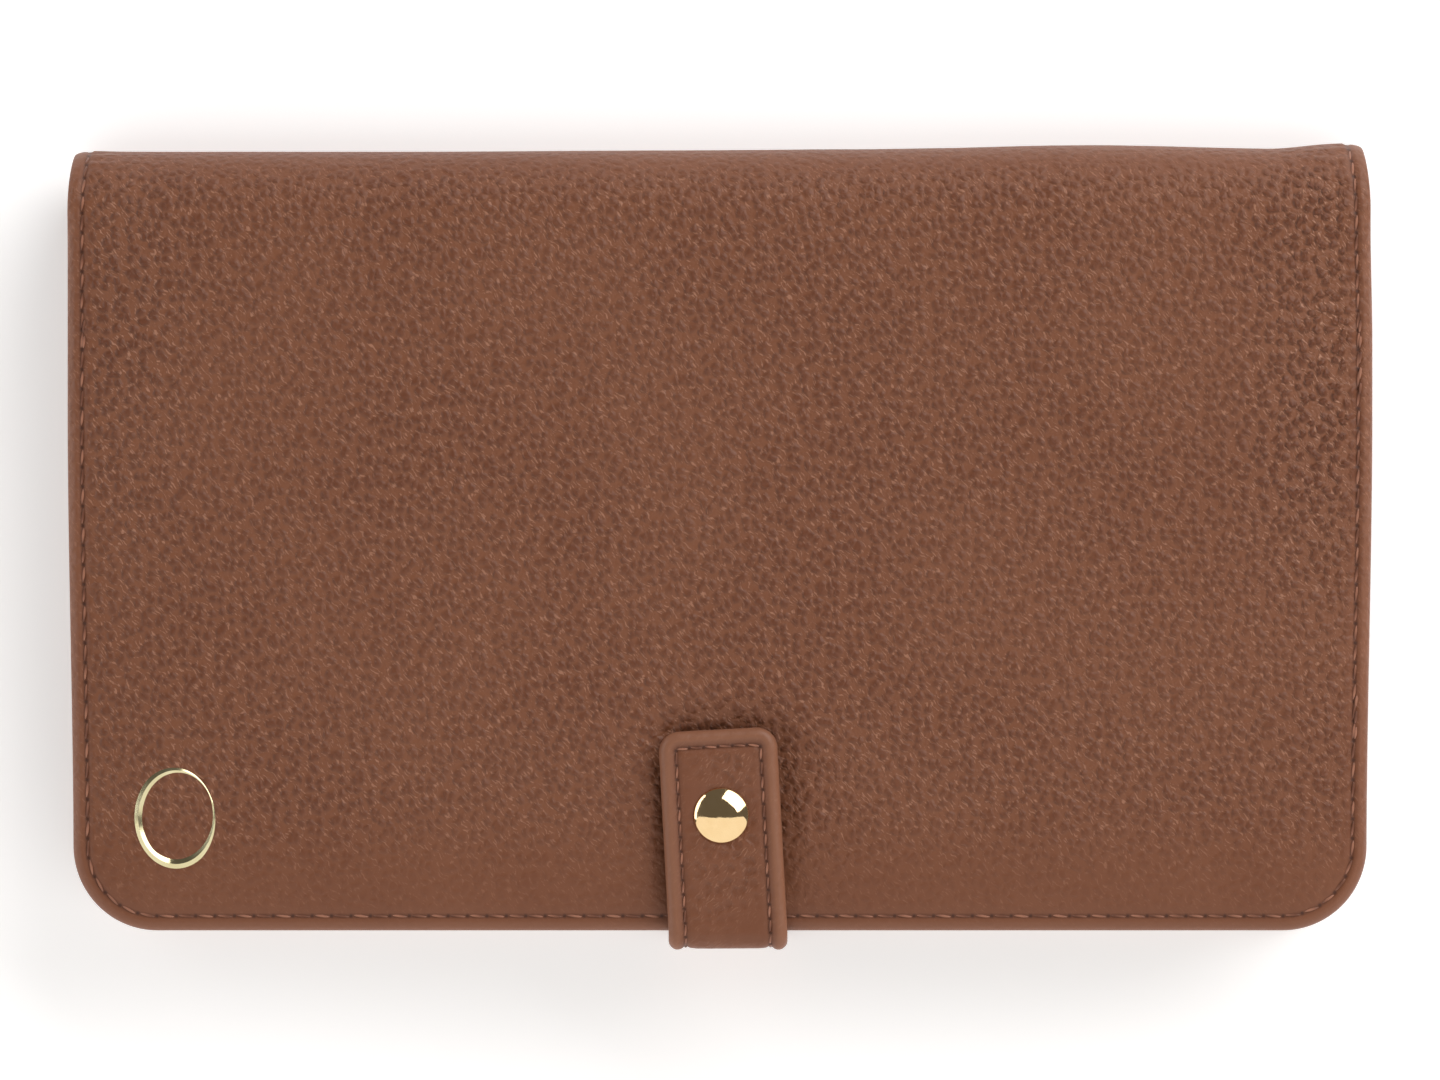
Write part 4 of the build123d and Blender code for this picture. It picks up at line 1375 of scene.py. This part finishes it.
bm = bmesh.new()
for x0, x1 in ((stop_low.x, row_low.x), (row_high.x, stop_high.x)):
    made = bmesh.ops.create_cube(bm, size=1)["verts"]
    bmesh.ops.scale(bm, verts=made, vec=(x1 - x0, stop_high.y - stop_low.y, stop_high.z - stop_low.z))
    bmesh.ops.translate(bm, verts=made, vec=((x0 + x1) / 2, zip_y, (stop_low.z + stop_high.z) / 2))
round_off(bm, bm.edges[:], 0.35 * mm, 3)
stops = place_mesh("zip_end_stops", bm, zip_brass)
belongs(stops, "zip_metal", "back", "zip_stops")

# The slider: two wings joined by a web, and a flat bridge on top, the bail, that holds the pull.
slider_low, slider_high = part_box("zip_slider")
slider_x, slider_length = (slider_low.x + slider_high.x) / 2, slider_high.x - slider_low.x
slider_half = (slider_high.y - slider_low.y) / 2
wing, upper_wing, wing_crown = 0.6 * mm, 8.0 * mm, 0.12 * mm
rear_share, rear_flare, mouth_from, mouth_trim = 0.74, 1.3, 0.7, 3.2


def slider_width(x):
    """The slider's half width: narrow where the closed rows come in, flaring to its two mouths."""
    share = (x - slider_low.x) / slider_length
    return slider_half * (rear_share + (1 - rear_share) * smooth(share * rear_flare))


bm = bmesh.new()
for z in (slider_low.z, upper_wing):
    made = bmesh.ops.create_cube(bm, size=1)["verts"]
    bmesh.ops.scale(bm, verts=made, vec=(slider_length, 2, wing))
    bmesh.ops.translate(bm, verts=made, vec=(slider_x, 0, z + wing / 2))
bmesh.ops.subdivide_edges(
    bm, edges=[e for e in bm.edges if abs(e.verts[0].co.x - e.verts[1].co.x) > mm], cuts=12
)
bmesh.ops.subdivide_edges(
    bm, edges=[e for e in bm.edges if abs(e.verts[0].co.y - e.verts[1].co.y) > 1.9], cuts=6
)
for v in bm.verts:
    share, side = abs(v.co.x - slider_x) / (slider_length / 2), v.co.y
    trim = 1 - max(0, share - mouth_from) ** 2 * mouth_trim
    v.co.y = zip_y + side * slider_width(v.co.x) * trim
    v.co.z += wing_crown * (1 - side**2) * (1 if v.co.z > tooth_z else -1) * (1 - share**2)
sharp = [e for e in bm.edges if e.calc_face_angle(0) > radians(40)]
round_off(bm, sharp, 0.16 * mm, 2)
web_radius, web_long, web_forward, bail_height = 0.4 * mm, 2.2, 1.6 * mm, 2.2 * mm
web_tall = slider_high.z - bail_height - slider_low.z
web = bmesh.ops.create_cone(
    bm, segments=20, cap_ends=True, radius1=web_radius, radius2=web_radius, depth=web_tall
)
bmesh.ops.scale(bm, verts=web["verts"], vec=(web_long, 1, 1))
web_middle = slider_low.z + web_tall / 2 + 0.1 * mm
bmesh.ops.translate(bm, verts=web["verts"], vec=(slider_x + web_forward, zip_y, web_middle))
bail_wide, bail_thick, bail_span = 1.0 * mm, 0.4 * mm, 1.2 * mm
bail_rise = slider_high.z - upper_wing - wing * 0.5 - bail_thick / 2
bail = bmesh.new()
bmesh.ops.create_grid(bail, x_segments=24, y_segments=4, size=0.5)
for v in bail.verts:
    a = pi * v.co.x
    across = bail_span * abs(sin(a)) ** 0.55 * (1 if a > 0 else -1)
    up = upper_wing + wing * 0.5 + bail_rise * max(0, cos(a)) ** 0.5
    v.co = (slider_x + across, zip_y + v.co.y * bail_wide, up)
bmesh.ops.solidify(bail, geom=bail.faces[:], thickness=bail_thick)
bail_mesh = bpy.data.meshes.new("bail")
bail.to_mesh(bail_mesh)
bail.free()
bm.from_mesh(bail_mesh)
bmesh.ops.recalc_face_normals(bm, faces=bm.faces[:])
slider = place_mesh("zip_slider_cast", bm, zip_brass)
belongs(slider, "zip_metal", "slider", "zip_slider")

# The pull: a flat tab with a square eye that the bail goes through, a waist behind it, rounded ends and
# a shallow dish in its upper face.
pull_low, pull_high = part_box("zip_pull_tab")
pull_half, pull_length = (pull_high.y - pull_low.y) / 2, pull_high.x - pull_low.x
eye, eye_wall = 1.5 * mm, 0.4 * mm
tab_round, eye_round, end_width = 2.0 * mm, 1.2 * mm, 0.35
waist_back, waist_reach, waist_depth = 6.5 * mm, 2.2 * mm, 0.22
dish_from_end, dish_long, dish_wide, dish_depth = 7 * mm, 5 * mm, 1.1 * mm, 0.16 * mm
bm = bmesh.new()
bmesh.ops.create_grid(bm, x_segments=40, y_segments=10, size=0.5)
bmesh.ops.scale(bm, verts=bm.verts[:], vec=(pull_length, 2 * pull_half, 1))
bmesh.ops.translate(bm, verts=bm.verts[:], vec=((pull_low.x + pull_high.x) / 2, zip_y, 0))
eye_x = (slider_x - eye_wall - 2 * eye, slider_x - eye_wall)
along, across = (1, 0, 0), (0, 1, 0)
for value, normal in ((eye_x[0], along), (eye_x[1], along), (zip_y - eye, across), (zip_y + eye, across)):
    everything = bm.verts[:] + bm.edges[:] + bm.faces[:]
    bmesh.ops.bisect_plane(bm, geom=everything, dist=1e-6, plane_co=(value, value, 0), plane_no=normal)
centres = [(tile, tile.calc_center_median()) for tile in bm.faces]
gone = [tile for tile, centre in centres if eye_x[0] < centre.x < eye_x[1] and abs(centre.y - zip_y) < eye]
bmesh.ops.delete(bm, geom=gone, context="FACES")
for v in bm.verts:
    from_end = min(v.co.x - pull_low.x, pull_high.x - v.co.x)
    rounding = tab_round if v.co.x < slider_x - 5 * mm else eye_round
    if from_end < rounding:
        trim = max(0.0, 1 - (1 - from_end / rounding) ** 2) ** 0.5
        v.co.y = zip_y + (v.co.y - zip_y) * (end_width + (1 - end_width) * trim)
    waist = bell((v.co.x - slider_x + waist_back) / waist_reach)
    v.co.y = zip_y + (v.co.y - zip_y) * (1 - waist_depth * waist)
copied = bmesh.ops.extrude_face_region(bm, geom=bm.faces[:])
lower = [g for g in copied["geom"] if isinstance(g, bmesh.types.BMVert)]
bmesh.ops.translate(bm, verts=lower, vec=(0, 0, pull_low.z - pull_high.z))
bmesh.ops.translate(bm, verts=bm.verts[:], vec=(0, 0, pull_high.z))
bmesh.ops.recalc_face_normals(bm, faces=bm.faces[:])
sharp = [e for e in bm.edges if e.calc_face_angle(0) > radians(55)]
round_off(bm, sharp, 0.18 * mm, 3)
for v in bm.verts:
    if v.co.z > pull_high.z - 0.05 * mm:
        dish = bell((v.co.x - pull_low.x - dish_from_end) / dish_long) * bell((v.co.y - zip_y) / dish_wide)
        v.co.z -= dish_depth * dish
pull = place_mesh("zip_pull_cast", bm, zip_brass)
belongs(pull, "zip_metal", "pull", "zip_pull_tab")
